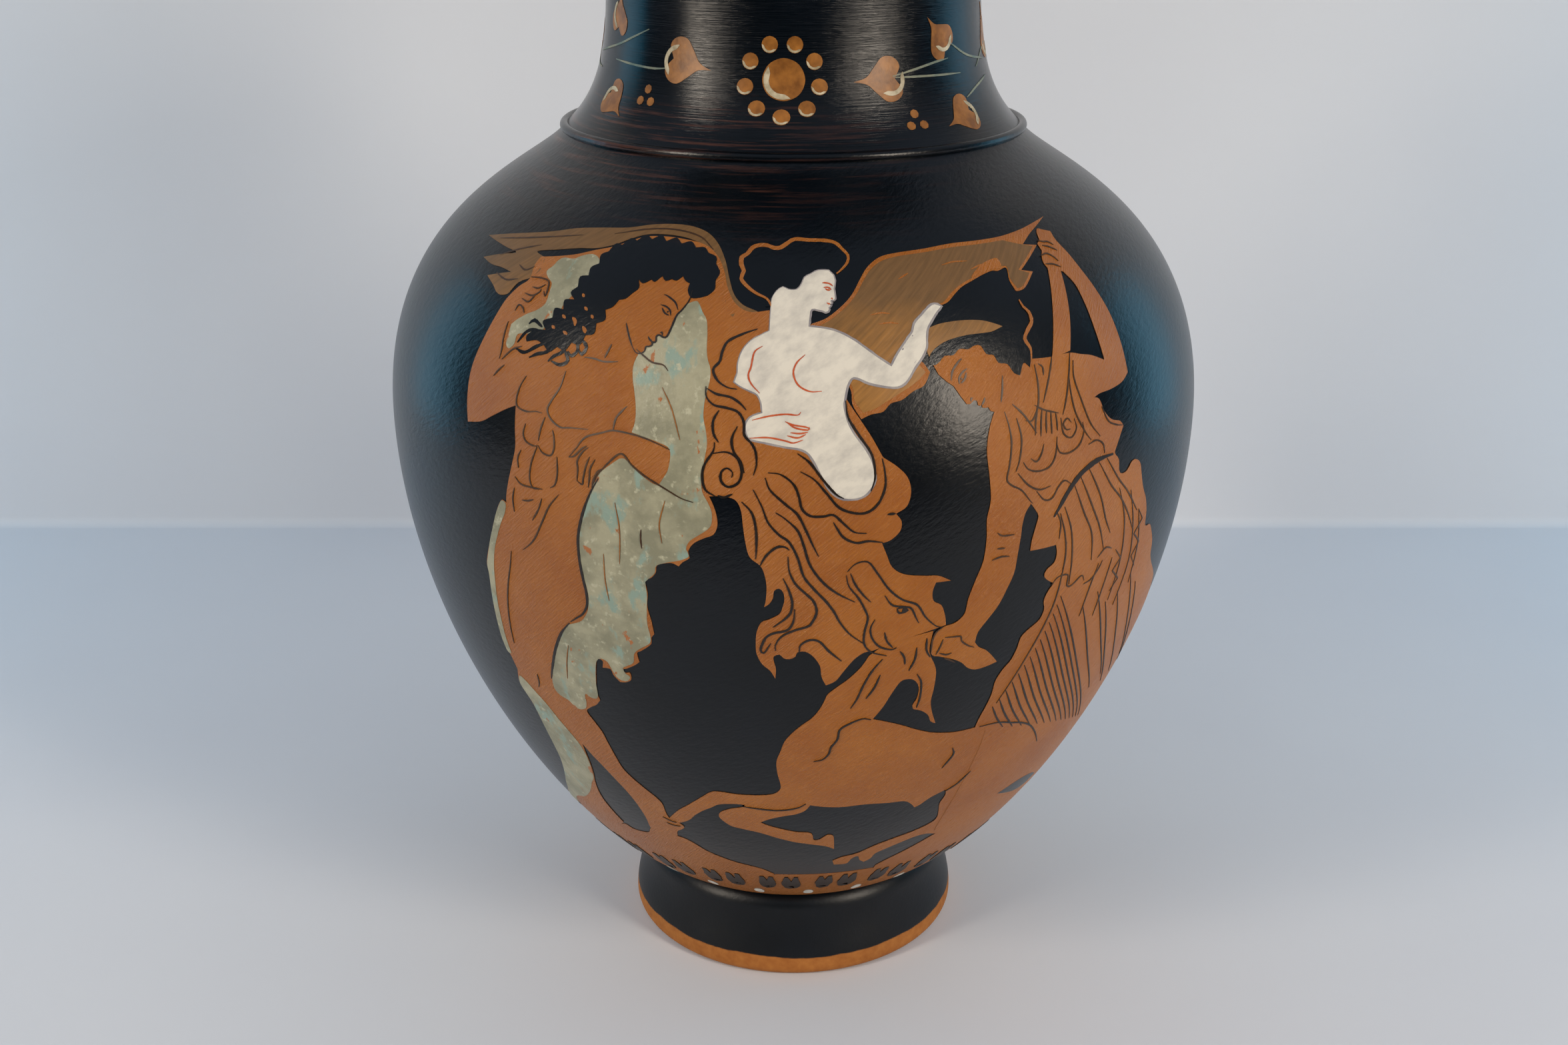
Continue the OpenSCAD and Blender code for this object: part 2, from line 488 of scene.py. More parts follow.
GRID = 3.0           # mm between the cuts that let flat paint bend round the wall
SINK = 0.35          # mm that the paint's underside lies inside the wall


def cut_to_bend(bm):
    """Cut flat areas along a grid, so that they can follow the wall."""
    for axis, normal in ((0, (1, 0, 0)), (1, (0, 1, 0))):
        values = [v.co[axis] for v in bm.verts]
        for k in range(math.ceil(min(values) / GRID), math.floor(max(values) / GRID) + 1):
            everything = bm.verts[:] + bm.edges[:] + bm.faces[:]
            plane = (k * GRID, 0, 0) if axis == 0 else (0, k * GRID, 0)
            bmesh.ops.bisect_plane(bm, geom=everything, dist=1e-4, plane_co=plane, plane_no=normal)


def paint(name, wall, material, lift, fills=(), strokes=(), width=0.8):
    """Areas and brush lines of one slip, laid on the wall as a thin closed layer."""
    bm = bmesh.new()
    hand = random.Random(name)
    for outline in fills:
        fill(bm, outline, lift)
    if fills:
        cut_to_bend(bm)
    for line in strokes:
        stroke(bm, wall, line, width, lift, hand)
    bmesh.ops.dissolve_degenerate(bm, dist=1e-4, edges=bm.edges)
    under = bmesh.ops.extrude_face_region(bm, geom=bm.faces[:], use_keep_orig=True)
    for item in under["geom"]:
        if isinstance(item, bmesh.types.BMVert):
            item.co.z = -SINK
    bmesh.ops.recalc_face_normals(bm, faces=bm.faces)
    uv = bm.loops.layers.uv.new("Paint")
    for face in bm.faces:
        for loop in face.loops:
            loop[uv].uv = (loop.vert.co.x * MM, loop.vert.co.y * MM)
    normals = []
    for vert in bm.verts:
        u, v, height = vert.co
        out = wall.outward(u, v)
        normals.append(out if height > 0 else -out)
        vert.co = wall.place(u, v, height)
    return finish(name, bm, [material], normals=normals)


# ---------------------------------------------------------------- the thrown pieces


def inner(profile, wall):
    """The inside of a wall of that thickness."""
    return profile - wall * normals_of(profile)


def make_belly():
    """The belly with its floor, open to the neck."""
    outside = belly_profile()
    inside = inner(outside, BELLY_WALL)
    keep = (inside[:, 1] > BELLY_LOW.z + FLOOR) & (inside[:, 1] < BELLY_HIGH.z - 6)
    inside = inside[keep][::-3]
    top = [(SHOULDER_HOLE_R, BELLY_HIGH.z), (SHOULDER_HOLE_R, BELLY_HIGH.z - 5)]
    floor = [(inside[-1][0] - 8, BELLY_LOW.z + FLOOR), (0, BELLY_LOW.z + FLOOR)]
    outline = [(0, BELLY_LOW.z), *outside, *top, *inside, *floor]
    lathe("belly_wall", outline, [BLACK, CLAY], ["belly"])


def make_neck():
    """The neck, bored through."""
    outside = neck_profile()
    inside = inner(outside, NECK_WALL)
    keep = (inside[:, 1] > NECK_LOW.z + 4) & (inside[:, 1] < NECK_HIGH.z - 2)
    inside = inside[keep][::-2]
    outline = [*outside, (MOUTH_BASE_R - NECK_WALL, NECK_HIGH.z), *inside, (SHOULDER_HOLE_R, NECK_LOW.z)]
    lathe("neck_wall", outline, [BLACK], ["neck"])


def make_mouth():
    """The flaring mouth with its rounded lip."""
    lip_r, top = MOUTH_HIGH.x, MOUTH_HIGH.z
    low = np.array([MOUTH_BASE_R, MOUTH_LOW.z])
    throat = np.array([MOUTH_BASE_R - NECK_WALL, MOUTH_LOW.z])
    outside = bezier(low, low + (5, 7), (lip_r, top - 16), (lip_r, top - LIP_ROUND), 30)
    lip = arc((lip_r - LIP_ROUND, top - LIP_ROUND), LIP_ROUND, 0, 90, 10)
    inside = bezier(throat, throat + (5, 9), (lip_r - 14, top - 5), (lip_r - 9, top - 0.8), 24)
    lathe("mouth_echinus", [*outside, *lip, *inside[::-1]], [BLACK], ["mouth_ring"])


def make_foot():
    """The ring foot, hollow underneath."""
    foot_r, top = FOOT_HIGH.x, FOOT_HIGH.z
    cheek_r = foot_r - FOOT_LEAN
    shoulder = cheek_r - FOOT_TOP_R
    edge = arc((foot_r - FOOT_EDGE, FOOT_EDGE), FOOT_EDGE, -90, 0, 10)
    cheek_low, cheek_high = (foot_r, FOOT_EDGE), (cheek_r, top - shoulder)
    cheek = bezier(cheek_low, (foot_r, top * 0.35), (cheek_r, top * 0.5), cheek_high, 16)
    over = arc((FOOT_TOP_R, top - shoulder), shoulder, 0, 90, 14)
    hollow = [(FOOT_BORE_R, top), (FOOT_BORE_R, top * 0.6), (FOOT_RING_R, 0)]
    lathe("foot_ring", [*edge[:-1], *cheek, *over, *hollow], [FOOT_BLACK], ["foot"])


def make_bead(name, radius, height, bead_r, node):
    """A clay bead over a joint, its hidden half sunk into the walls."""
    lathe(name, arc((radius, height), bead_r, -180, 168, 29), [BLACK], [node])


make_belly()
make_neck()
make_mouth()
make_foot()
make_bead("shoulder_ridge", NECK_BASE_R, BELLY_HIGH.z + BEAD_LIFT, 1.3, "neck_bead")
make_bead("foot_joint_bead", FOOT_TOP_R + 0.8, BELLY_LOW.z + BEAD_LIFT, 1.6, "foot_bead")
for node in ("left_handle", "right_handle"):
    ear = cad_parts[node]
    ear.data.materials.clear()
    ear.data.materials.append(BLACK)

# ---------------------------------------------------------------- painted outlines
# Points are (u, v) in mm: u round the wall from the middle of the front, v up it from its lower joint.
# A curve runs smoothly through them, except where a third value of 1 makes a corner.

# The youth: body, cloth in the raised hand, cloak and hair
YOUTH_BODY = [
    (-92.5, 187.7, 1), (-93.7, 193), (-94.3, 199), (-93.8, 204), (-92.3, 210), (-90.8, 216),
    (-89.5, 220.5), (-87, 224.3), (-84.3, 227), (-85.5, 231), (-85, 233.5, 1), (-79, 234.5), (-72, 236),
    (-66, 238), (-60, 239.8), (-55, 242), (-50, 244), (-43, 244.6), (-36, 244.2), (-29, 243),
    (-24, 240), (-20.8, 235.5), (-18.8, 230.5), (-16, 226.5), (-12, 224.5), (-6.5, 225, 1), (-6, 215),
    (-4, 200), (-8, 188), (-14, 182, 1), (-20.5, 180.5, 1), (-19.8, 179.3), (-19, 177.5), (-18.3, 175),
    (-18.2, 172.5), (-19.2, 170.3), (-21, 169.5), (-24, 167.8), (-25.5, 165.5), (-25.2, 163.8),
    (-27, 162.5), (-28, 161.3, 1), (-30, 162), (-33.5, 161), (-34, 159), (-35.5, 157.2),
    (-37.3, 156.8, 1), (-36.6, 153), (-37, 149), (-36.3, 145), (-35.9, 141, 1), (-36.8, 139.8),
    (-37, 138), (-38.5, 136.5), (-40.5, 135), (-41.5, 134.3), (-41.2, 131.5, 1), (-43, 130),
    (-45.5, 128.5), (-47, 128), (-46, 127, 1), (-44.6, 127.3), (-44.7, 125), (-46.5, 123.8),
    (-48.3, 123.5, 1), (-50, 125.5), (-50.5, 127.3), (-53, 127.2, 1), (-52.5, 129.5), (-54, 129.8),
    (-55, 127.5), (-56, 123), (-57, 118), (-56.7, 115, 1), (-58.5, 113), (-61, 111.3), (-63, 109.3),
    (-61.5, 106), (-59.8, 102.5), (-59, 98), (-58, 92.5), (-57, 88), (-54.5, 84.3), (-51, 80.5),
    (-48, 77.3), (-46.6, 74.5), (-46.8, 70), (-46, 67), (-43, 65.8), (-41.5, 64), (-43, 62.3),
    (-45.5, 60.5), (-47, 57), (-50, 55, 1), (-58, 54, 1), (-58.5, 58.5), (-57.7, 64), (-58, 69),
    (-58.8, 73), (-60.3, 77), (-62.5, 81), (-65.5, 86), (-68.3, 90), (-70.7, 94, 1), (-71, 91),
    (-71.3, 87), (-72, 83), (-73, 79.5), (-74.5, 76), (-76, 71), (-76.5, 66), (-75.5, 60), (-74, 55, 1),
    (-80, 50, 1), (-100, 48, 1), (-112, 50), (-110, 55), (-104, 60), (-99, 65.5), (-95, 70),
    (-91.5, 75), (-89, 80), (-87.8, 85), (-87.3, 91), (-87.2, 97), (-87.5, 103), (-88.8, 107),
    (-90, 110.5), (-89.3, 113.5), (-88.3, 116, 1), (-89, 120), (-90, 123.5), (-90.6, 128), (-90.2, 134),
    (-89.3, 140), (-88.5, 146), (-88.7, 149.5), (-87.5, 153), (-85.7, 157), (-84, 161), (-82, 165.5),
    (-80.5, 168.5), (-79, 170.3), (-77.5, 169.8, 1), (-77.3, 172), (-76.3, 176), (-75, 180.5),
    (-74, 185), (-74.5, 190), (-75, 195.3, 1), (-78.5, 193.7), (-83, 191.2), (-87, 189),
]
HAND_CLOTH = [
    (-83, 209.5), (-81.5, 208.5), (-80, 210), (-79.8, 212.5), (-76, 213.2), (-73.5, 213.5),
    (-71.5, 215), (-70.5, 216.5), (-69.5, 217.5, 1), (-68, 220), (-67.5, 222.5), (-66, 224.5),
    (-64.8, 227), (-64.8, 230), (-63, 230.5), (-61.5, 232.5), (-61.8, 235), (-63.5, 236.3),
    (-66, 236.8), (-69, 236), (-72, 234.6), (-75, 234.6), (-77, 233.7), (-78, 231.5), (-79.3, 230),
    (-77.5, 228.3), (-75, 227), (-74.3, 224.5, 1), (-74, 221.5), (-76, 219.5), (-79, 218),
    (-80.5, 217, 1), (-82, 216), (-83.5, 214.5, 1), (-83.2, 212),
]
CLOAK = [
    (-28, 226.6), (-26.5, 226.3), (-25, 224), (-23.5, 222), (-22.8, 218.5), (-22.5, 215), (-22, 212.5),
    (-21, 210), (-21, 207), (-21.8, 203), (-22, 199), (-21.2, 195.5), (-20.8, 192.5), (-21.3, 189),
    (-22, 184.5), (-21.8, 181), (-20.5, 178.5), (-19.5, 176), (-19.8, 172.5), (-22, 170.5),
    (-25, 168.3), (-26, 166), (-25.3, 164.3), (-27.5, 163), (-31, 162), (-33.8, 160.8), (-34.3, 158.8),
    (-36, 157), (-37, 156, 1), (-36.8, 152), (-37.2, 148), (-37.5, 144), (-37, 140), (-37.5, 138),
    (-39.5, 136.5), (-41.5, 135), (-42.5, 133.5), (-43, 131), (-44.8, 129.7), (-46.5, 128.5),
    (-46, 126.8), (-44.8, 126), (-46, 124.3), (-48.5, 124.5), (-50, 127), (-51, 129.5), (-53, 130.2),
    (-54.5, 129), (-55.5, 126), (-56.5, 121), (-57.2, 116), (-59.5, 115.2), (-61.5, 116), (-62, 113),
    (-63, 110.5), (-65.5, 109.3), (-67.5, 110), (-69, 111.5), (-72, 112.5), (-73.3, 114.5),
    (-73, 117.5), (-72, 120), (-70.5, 124), (-68, 129), (-66, 133), (-64, 136), (-62, 138.5),
    (-59.5, 139.7), (-57, 141), (-55, 143.5), (-54, 146), (-53.8, 149.5), (-54.3, 154), (-55, 158.5),
    (-54.8, 163), (-54.3, 168), (-53, 173), (-51, 177.5), (-49.5, 180.5), (-48, 183), (-45, 185.5),
    (-43, 187, 1), (-41.5, 187.2), (-39.5, 185.5), (-36, 183), (-33, 181.7), (-31.5, 183.5),
    (-30.2, 186), (-30, 190.5), (-33, 192), (-37, 193), (-40, 193.7, 1), (-39.3, 196.5), (-39.5, 200),
    (-40.3, 203.5), (-41.2, 206.5), (-41.5, 210), (-40, 214, 1), (-36, 219), (-32, 224.5, 1),
]
CLOAK_BACK = [
    (-79.3, 170), (-77.8, 169.5), (-78.3, 167), (-80, 164), (-82, 160), (-84, 155.5), (-85.5, 150.5),
    (-86.5, 145), (-87.5, 139), (-88, 133), (-88.5, 127), (-88.3, 121.5, 1), (-90, 121.5), (-90.7, 126),
    (-90.3, 133), (-89.5, 140), (-88.6, 146.5), (-88.6, 149.5), (-87.3, 153), (-85.5, 157.5),
    (-83.5, 162), (-81.5, 166.5),
]
CLOAK_TAIL = [
    (-88.5, 113.7), (-90, 110.5), (-88.8, 107), (-87.5, 104), (-87.2, 98), (-87.3, 91), (-87.8, 85),
    (-89, 80), (-91.5, 75), (-95, 70), (-99, 65.5), (-104, 60), (-112, 53), (-124, 45), (-138, 36.5),
    (-150, 30.5, 1), (-149, 29), (-136, 34), (-122, 41.5), (-112, 48), (-103, 55.5), (-98, 58.5),
    (-90, 62), (-84, 66.5), (-80, 70.5), (-77, 74.5), (-74, 78), (-72.3, 83), (-71.5, 88), (-72, 93),
    (-74, 97), (-77, 101.5), (-80, 106.3), (-83.5, 110), (-86, 112.5),
]
YOUTH_HAIR = [
    (-29, 227.5), (-26.5, 227.6), (-24.3, 228.3, 1), (-22.6, 230), (-22.8, 232.5, 1), (-21.9, 234.8),
    (-23.6, 237.3, 1), (-24, 239.3), (-26.8, 240.4, 1), (-28.5, 242), (-31.3, 241.8, 1), (-33.5, 243.6),
    (-36.5, 242.7, 1), (-39, 244.4), (-42, 243.1, 1), (-44.5, 244.8), (-47.3, 243.3, 1), (-50, 244.5),
    (-52.3, 242.4, 1), (-54.8, 243), (-56.8, 240.6, 1), (-59.3, 240.8), (-60.4, 238.2, 1), (-62.5, 237),
    (-61.6, 234.4, 1), (-63.8, 233), (-63.3, 230.7, 1), (-66, 230), (-65.2, 227.3, 1), (-66.8, 225.5),
    (-64.6, 223.8, 1), (-67.8, 223.3), (-67, 220.8, 1), (-70, 220.8), (-69.6, 218.3, 1), (-72.5, 217),
    (-70.6, 215, 1), (-74, 214.5), (-76.5, 212.6), (-75.8, 211.2, 1), (-72.5, 212), (-69.6, 211.2, 1),
    (-67.3, 209.8), (-65.2, 211.4, 1), (-62.5, 210.8), (-61, 213, 1), (-58.2, 212.8), (-57.3, 215.3, 1),
    (-54.8, 216), (-55, 218.6, 1), (-52.6, 219.8), (-53.5, 222.3, 1), (-51.5, 223.3), (-50.2, 225.3, 1),
    (-48.3, 225.8), (-46.8, 227.4, 1), (-45.3, 229), (-46.3, 231.3, 1), (-44.5, 230.3),
    (-42.2, 231.6, 1), (-41, 231), (-39.2, 232.8, 1), (-37.8, 231.5), (-36, 232.2, 1), (-34.5, 231.8),
    (-32.8, 233.2, 1), (-31.8, 232), (-30.2, 231.3, 1), (-30.4, 229.4),
]
HAIR_LOCKS = [
    [(-70, 213.5), (-74, 214.5), (-77, 213.5), (-79, 210.5)],
    [(-68, 212.5), (-72, 210.5), (-75.5, 208.5), (-79, 209)],
    [(-65, 213), (-68, 209.8), (-71, 208.8), (-73.5, 207.5)],
    [(-62, 213.5), (-63, 210.5), (-65.5, 209), (-67, 207.5)],
    [(-60, 214.5), (-58.5, 211.5), (-60, 209.8), (-61.5, 210.8)],
    [(-58.5, 214.5), (-56, 212.5), (-57, 210.6), (-58.3, 211.6)],
    [(-72, 215.5), (-75.5, 216.8), (-77, 215.6)],
    [(-63, 211.5), (-60.8, 208.6), (-63, 207.2), (-66, 207.8)],
]
HAIR_GAPS = [
    [(-58.9, 217.4), (-57.7, 216.3), (-57.5, 215.8)],
    [(-63, 219.2), (-61.8, 218.4), (-61.4, 217.2)],
    [(-60.3, 222.3), (-59, 221.5)],
    [(-66.6, 219.4), (-65.2, 218.7)],
    [(-64.6, 215.4), (-63, 214.8)],
    [(-57.3, 220.5), (-56.4, 219.7)],
    [(-68.9, 216.3), (-67.6, 215.7)],
    [(-62.6, 225.6), (-61.6, 224.8)],
]

# The youth's drawn lines
YOUTH_LINES = [
    [(-73, 203), (-74.5, 200), (-75, 196.5), (-74, 195), (-71, 194.5), (-68, 195), (-66, 194.9)],
    [
        (-60.7, 206), (-61.5, 202), (-63.5, 198.5), (-64.5, 196), (-63, 193.8), (-60, 192.4),
        (-57, 192.7), (-52, 193),
    ],
    [(-65, 194), (-66, 191), (-66.5, 188)],
    [(-71, 191.5), (-71.5, 189), (-70.5, 187.2), (-68, 186.5), (-66.5, 186.8)],
    [(-66.5, 186.8), (-65, 185.3), (-62.5, 185), (-61.5, 187), (-61.8, 190), (-62.3, 191.3)],
    [(-66.8, 186.5), (-68.5, 182), (-69, 178), (-68, 175.8), (-66, 175.8)],
    [(-60.5, 185), (-60.3, 181), (-61, 178), (-62.5, 176.8)],
    [(-74, 177.5), (-72, 176), (-69, 175.8), (-65, 176)],
    [(-72, 184.7), (-73, 182.5), (-72.7, 180)],
    [(-71.8, 171.8), (-70, 172), (-68, 172.7)],
    [(-60, 175.5), (-63, 172), (-65.5, 167.5), (-68, 163), (-70, 160.5), (-73, 158)],
    [(-74.3, 174.5), (-75, 171.5), (-74.8, 168)],
    [(-65.3, 173.5), (-66.5, 170.5), (-68.8, 167)],
    [(-77.5, 156.5), (-78.8, 152), (-81, 146), (-83, 139.5), (-84.5, 132), (-85.2, 126)],
    [(-79, 117.5), (-79.5, 114.5), (-80.5, 112.5)],
    [(-85, 215), (-84.7, 211), (-84, 208), (-84, 205.5)],
    [(-83, 205.5), (-80, 208.5), (-77, 209.8)],
    [(-84.7, 201), (-83, 203), (-81.5, 204.3)],
    [(-84, 218), (-83.5, 219.7), (-81.5, 219.2), (-80.3, 218)],
    [(-83.5, 221.5), (-80.5, 221), (-79.3, 222.5), (-79, 223.5)],
    [(-83.3, 223), (-80, 222.8), (-78, 224), (-77.8, 225)],
    [(-81.5, 225), (-79, 225), (-77, 226.3)],
    [(-84, 227.5), (-80, 227.8), (-76.5, 227.3), (-75.3, 225), (-75.3, 223.3), (-76.5, 224.5)],
    [
        (-57, 185.5), (-55, 188), (-52.5, 191), (-48, 192.7), (-45, 193.6), (-41, 193.4), (-37, 192.8),
        (-33, 191.6), (-30, 190.5),
    ],
    [
        (-50, 179.8), (-48.5, 182.5), (-46, 185.5), (-42.5, 188.3), (-39.5, 185.8), (-36, 183.5),
        (-31, 181), (-27, 179), (-24, 178.2),
    ],
    [(-57, 185.5), (-55.5, 186), (-53.5, 188), (-52, 189)],
    [(-54.5, 180), (-54.3, 183), (-54.5, 185), (-53, 187.5), (-51.5, 188.7)],
    [(-54.5, 180), (-53, 179.3), (-52.7, 181), (-52, 184), (-51, 186.5)],
    [(-51.3, 178.8), (-51, 181), (-50.8, 183.5), (-49.5, 186)],
    [(-50.3, 178.8), (-49.8, 181), (-48.8, 183), (-47.5, 184)],
    [(-56, 210), (-53, 210), (-50, 209.6), (-46, 210)],
    [(-48.8, 214), (-49.3, 212.5), (-50, 210.5)],
    [(-41.5, 213.5), (-39, 212), (-36.5, 210.7), (-33.5, 210.3), (-32, 209)],
    [(-45, 193.7), (-44.5, 196.5), (-43, 198.5), (-41.8, 199.7)],
    [(-37.3, 170), (-37.5, 167.5), (-37.3, 165)],
    [(-44, 65.8), (-46.5, 66.2), (-49, 67.5)],
    [(-43, 64), (-46, 63.8), (-48.5, 64.5)],
]
BOLD_FOLDS = [
    [
        (-48.5, 181.5), (-51, 177), (-53.2, 171.5), (-54.8, 165.5), (-55, 159.5), (-54.5, 154),
        (-54, 150), (-54.3, 146.5), (-56, 143.5), (-58.5, 141.5), (-60.5, 140),
    ],
    [(-61, 139.5), (-64.5, 135.5), (-68, 129.5), (-71, 123), (-73.2, 118)],
]
CLOAK_FOLDS = [
    [(-47.8, 162), (-48, 155), (-47.5, 149)],
    [(-33, 205), (-30, 200), (-27.5, 193)],
    [(-44, 176), (-43, 169), (-43.5, 160)],
    [(-63, 132), (-65, 126), (-66.5, 120)],
    [(-31, 178), (-32.5, 172), (-32, 167)],
]

# The winged figure: wings, body and hair
LEFT_WING = [
    (-118, 235, 1), (-108, 237.3), (-98, 239.3), (-88, 241.3), (-78, 243.8), (-68, 245.2), (-58, 246.3),
    (-50, 248), (-42, 248.8), (-35, 248.5), (-29, 246.8), (-24.5, 243.5), (-21, 238.5), (-18.7, 233),
    (-16.8, 229), (-14, 226.3), (-10, 224.7), (-8.3, 223.3), (-8.8, 221.7, 1), (-12, 221.6),
    (-15.5, 222.5), (-18, 224.5), (-19.3, 228), (-20.5, 232.5), (-22.3, 237), (-25.5, 241),
    (-30, 243.2), (-36, 244.8), (-43, 245.3), (-50, 244.8), (-55, 243), (-60, 240.5), (-66, 238.7),
    (-72, 238), (-80, 236.5), (-88, 234.8), (-83, 233.5, 1), (-82, 230), (-84.5, 227.3), (-88, 225.5),
    (-90, 222), (-93, 221), (-95.5, 221.5, 1), (-98.5, 223), (-103.5, 224.8, 1), (-98, 226.4),
    (-93.5, 227.5, 1), (-99, 228), (-105, 228), (-111.5, 229, 1), (-104, 231.3), (-97, 233),
    (-104, 233.7),
]
RIGHT_WING = [
    (4, 221), (9, 223), (14, 226.5), (17, 229.5), (19.5, 233), (22.5, 236.5), (27, 239.2), (33, 240.2),
    (42, 240.8), (52, 241.6), (62, 241.6), (72, 241.8), (82, 242.8), (90, 244), (98, 245.2, 1),
    (91, 243), (85, 241), (79, 238.3, 1), (84.5, 237.3, 1), (78, 234), (72.5, 231.2, 1),
    (76.5, 230.2, 1), (71, 226.5), (68, 225.8), (67, 226, 1), (66.5, 229), (67.5, 232.5), (64, 232),
    (62, 232.3), (58, 231.5), (54, 230.3), (50, 229), (47, 227.3), (44, 225.3), (41, 224.5, 1),
    (36, 220), (35, 214), (30, 211.5), (33, 211.3), (35, 208.5, 1), (33, 205.5), (30, 204.3),
    (27, 202.5), (24, 201.8), (22, 200), (19, 199.5), (16.5, 198.5, 1), (14.5, 202), (14, 206),
    (10, 212), (5, 218),
]
RIGHT_WING_DOWN = [
    (5, 220), (9.5, 222.2), (14.5, 225.7), (17.8, 228.9), (20.3, 232.3), (23.2, 235.6), (27.3, 238),
    (33, 239.1), (42, 239.7), (52, 240.4), (62, 240.4), (72, 240.5, 1), (77, 238.8), (82.5, 237.2, 1),
    (77, 234.3), (71.5, 231.4, 1), (75, 230, 1), (70.5, 227), (68, 226.5, 1), (67, 229.5),
    (67.8, 232.9), (64, 232.9), (60, 232.7), (54, 231), (50, 229.7), (46.5, 228), (43, 225.6),
    (41, 225, 1), (36, 220), (35, 214), (30, 212.2), (32, 210.8), (33.8, 208.6, 1), (31, 206.4),
    (28, 204.8), (24, 202.8), (20, 200.8), (17, 200, 1), (15, 203), (14.5, 206.5), (10.5, 212),
    (5.5, 218),
]
RIGHT_WING_LOWER = [
    (35, 214), (36, 219, 1), (40, 220), (46, 220.3), (52, 219.8), (56, 218.6), (58.5, 217.5, 1),
    (54, 216.5), (48, 216.4), (42, 215.7), (38, 214.3), (35.5, 212, 1),
]
WING_PATCH = [
    (54, 231.2), (58, 233.8), (62, 235.2), (66, 235.5), (65.7, 232.6), (62, 232.7), (58, 231.9),
]
FEATHER_LINES = [
    [(-110, 235.5), (-98, 237.6), (-86, 239.8), (-74, 242)],
    [(-92, 230), (-88, 229), (-85, 230.5)],
    [(-100, 226.3), (-94, 225.2), (-89, 226.2)],
    [(-62, 243.8), (-50, 246.5), (-40, 247), (-31, 245.3), (-25.5, 241.5)],
    [(-104, 231), (-96, 234.3), (-88, 236.8)],
]
WING_GLINTS = [
    [(21, 223.4), (24, 223.8), (26.5, 223.5)],
    [(23, 221), (26, 221.2), (28.5, 220.8)],
    [(46, 235.5), (50, 236.1), (55, 235.9)],
    [(55, 233.4), (59, 234.3), (62.5, 234)],
    [(31, 232.5), (34.5, 234)],
]
WINGED_BODY_TOP = [
    (-6, 228), (-4.8, 230), (-3, 231.2), (-1.5, 230.5), (1, 230.5), (2.4, 232), (3.3, 233.8),
    (5, 234.7), (7.5, 235.8), (10.5, 235.7, 1),
]
WINGED_BODY_REST = [
    (5, 225.3), (4.3, 223), (4, 220.8, 1), (8, 220.3), (12, 219.2), (16, 217), (20, 214), (23, 211.8),
    (25, 210.5, 1), (27.5, 213.8), (30.5, 217), (32, 218.5), (33, 220.5), (35.5, 222.5), (38, 224.3),
    (39.8, 225), (41.5, 224.3, 1), (40, 223.2), (39, 222.3), (37.5, 220.8), (36, 219), (35.3, 217),
    (34.8, 214.5), (33, 212), (31, 210), (29.5, 208), (28, 206.5), (26, 205.7), (23, 206), (19, 207),
    (16, 208.3), (14.5, 208.2), (13.3, 206.5), (12.5, 203.5), (12.2, 201.5), (13, 198), (14.5, 195),
    (17, 191.5), (18.8, 188), (19.3, 184), (18, 181.5), (16, 180), (13, 179.7), (10.5, 180.5),
    (8.5, 182.5), (6.5, 186), (5, 189), (3.5, 191), (1.5, 192), (-2, 192.5), (-6, 193.3), (-9, 193.8),
    (-10.8, 194.5), (-11.5, 197), (-10.5, 199), (-8.5, 199.9), (-7.5, 200.2, 1), (-7.8, 202.5),
    (-8.8, 204.5), (-10.5, 205.3), (-13, 206.3), (-14.7, 207.3, 1), (-14, 209.5), (-14, 212),
    (-13, 215), (-11, 217.3), (-8.5, 218.7), (-6.3, 219.8, 1), (-6.2, 224),
]
WINGED_LINES = [
    [(-8, 216), (-10, 214.5), (-10.7, 211), (-11.3, 209), (-10.5, 207), (-8.3, 204.8)],
    [(3, 214), (0.8, 212), (0, 209.5), (1.2, 206.8), (4, 205.3), (7, 205.3)],
    [(-10, 198.5), (-6, 199.5), (-2, 200), (1, 199.8), (1.8, 200.5)],
    [(-2, 198.3), (0, 197.5), (3, 197), (4, 196.5)],
    [(-1.5, 198), (0.5, 196.8), (3.5, 196.3), (3.8, 197)],
    [(-0.7, 195.7), (1.5, 195.5), (3.5, 195.8)],
    [(-1.5, 195), (1, 194.5), (3, 195.3)],
    [(-10.5, 194.3), (-6, 194.5), (-2, 193.8), (0, 193.3), (2.3, 194)],
]
WINGED_HAIR = [
    (-6, 226), (-7.4, 228), (-10.3, 229.3), (-13, 231), (-15.3, 233.3), (-14.8, 235.5), (-15.8, 237.3),
    (-16, 239.5), (-14.5, 240.5), (-13, 242.5), (-11, 243.3), (-8.5, 243.3), (-6, 242.5), (-4, 242.7),
    (-2, 244), (0.5, 245.3), (5, 245), (10, 244.8), (13.5, 244), (15.5, 242), (17, 240), (16.5, 238),
    (14.5, 236), (12.8, 234.8),
]

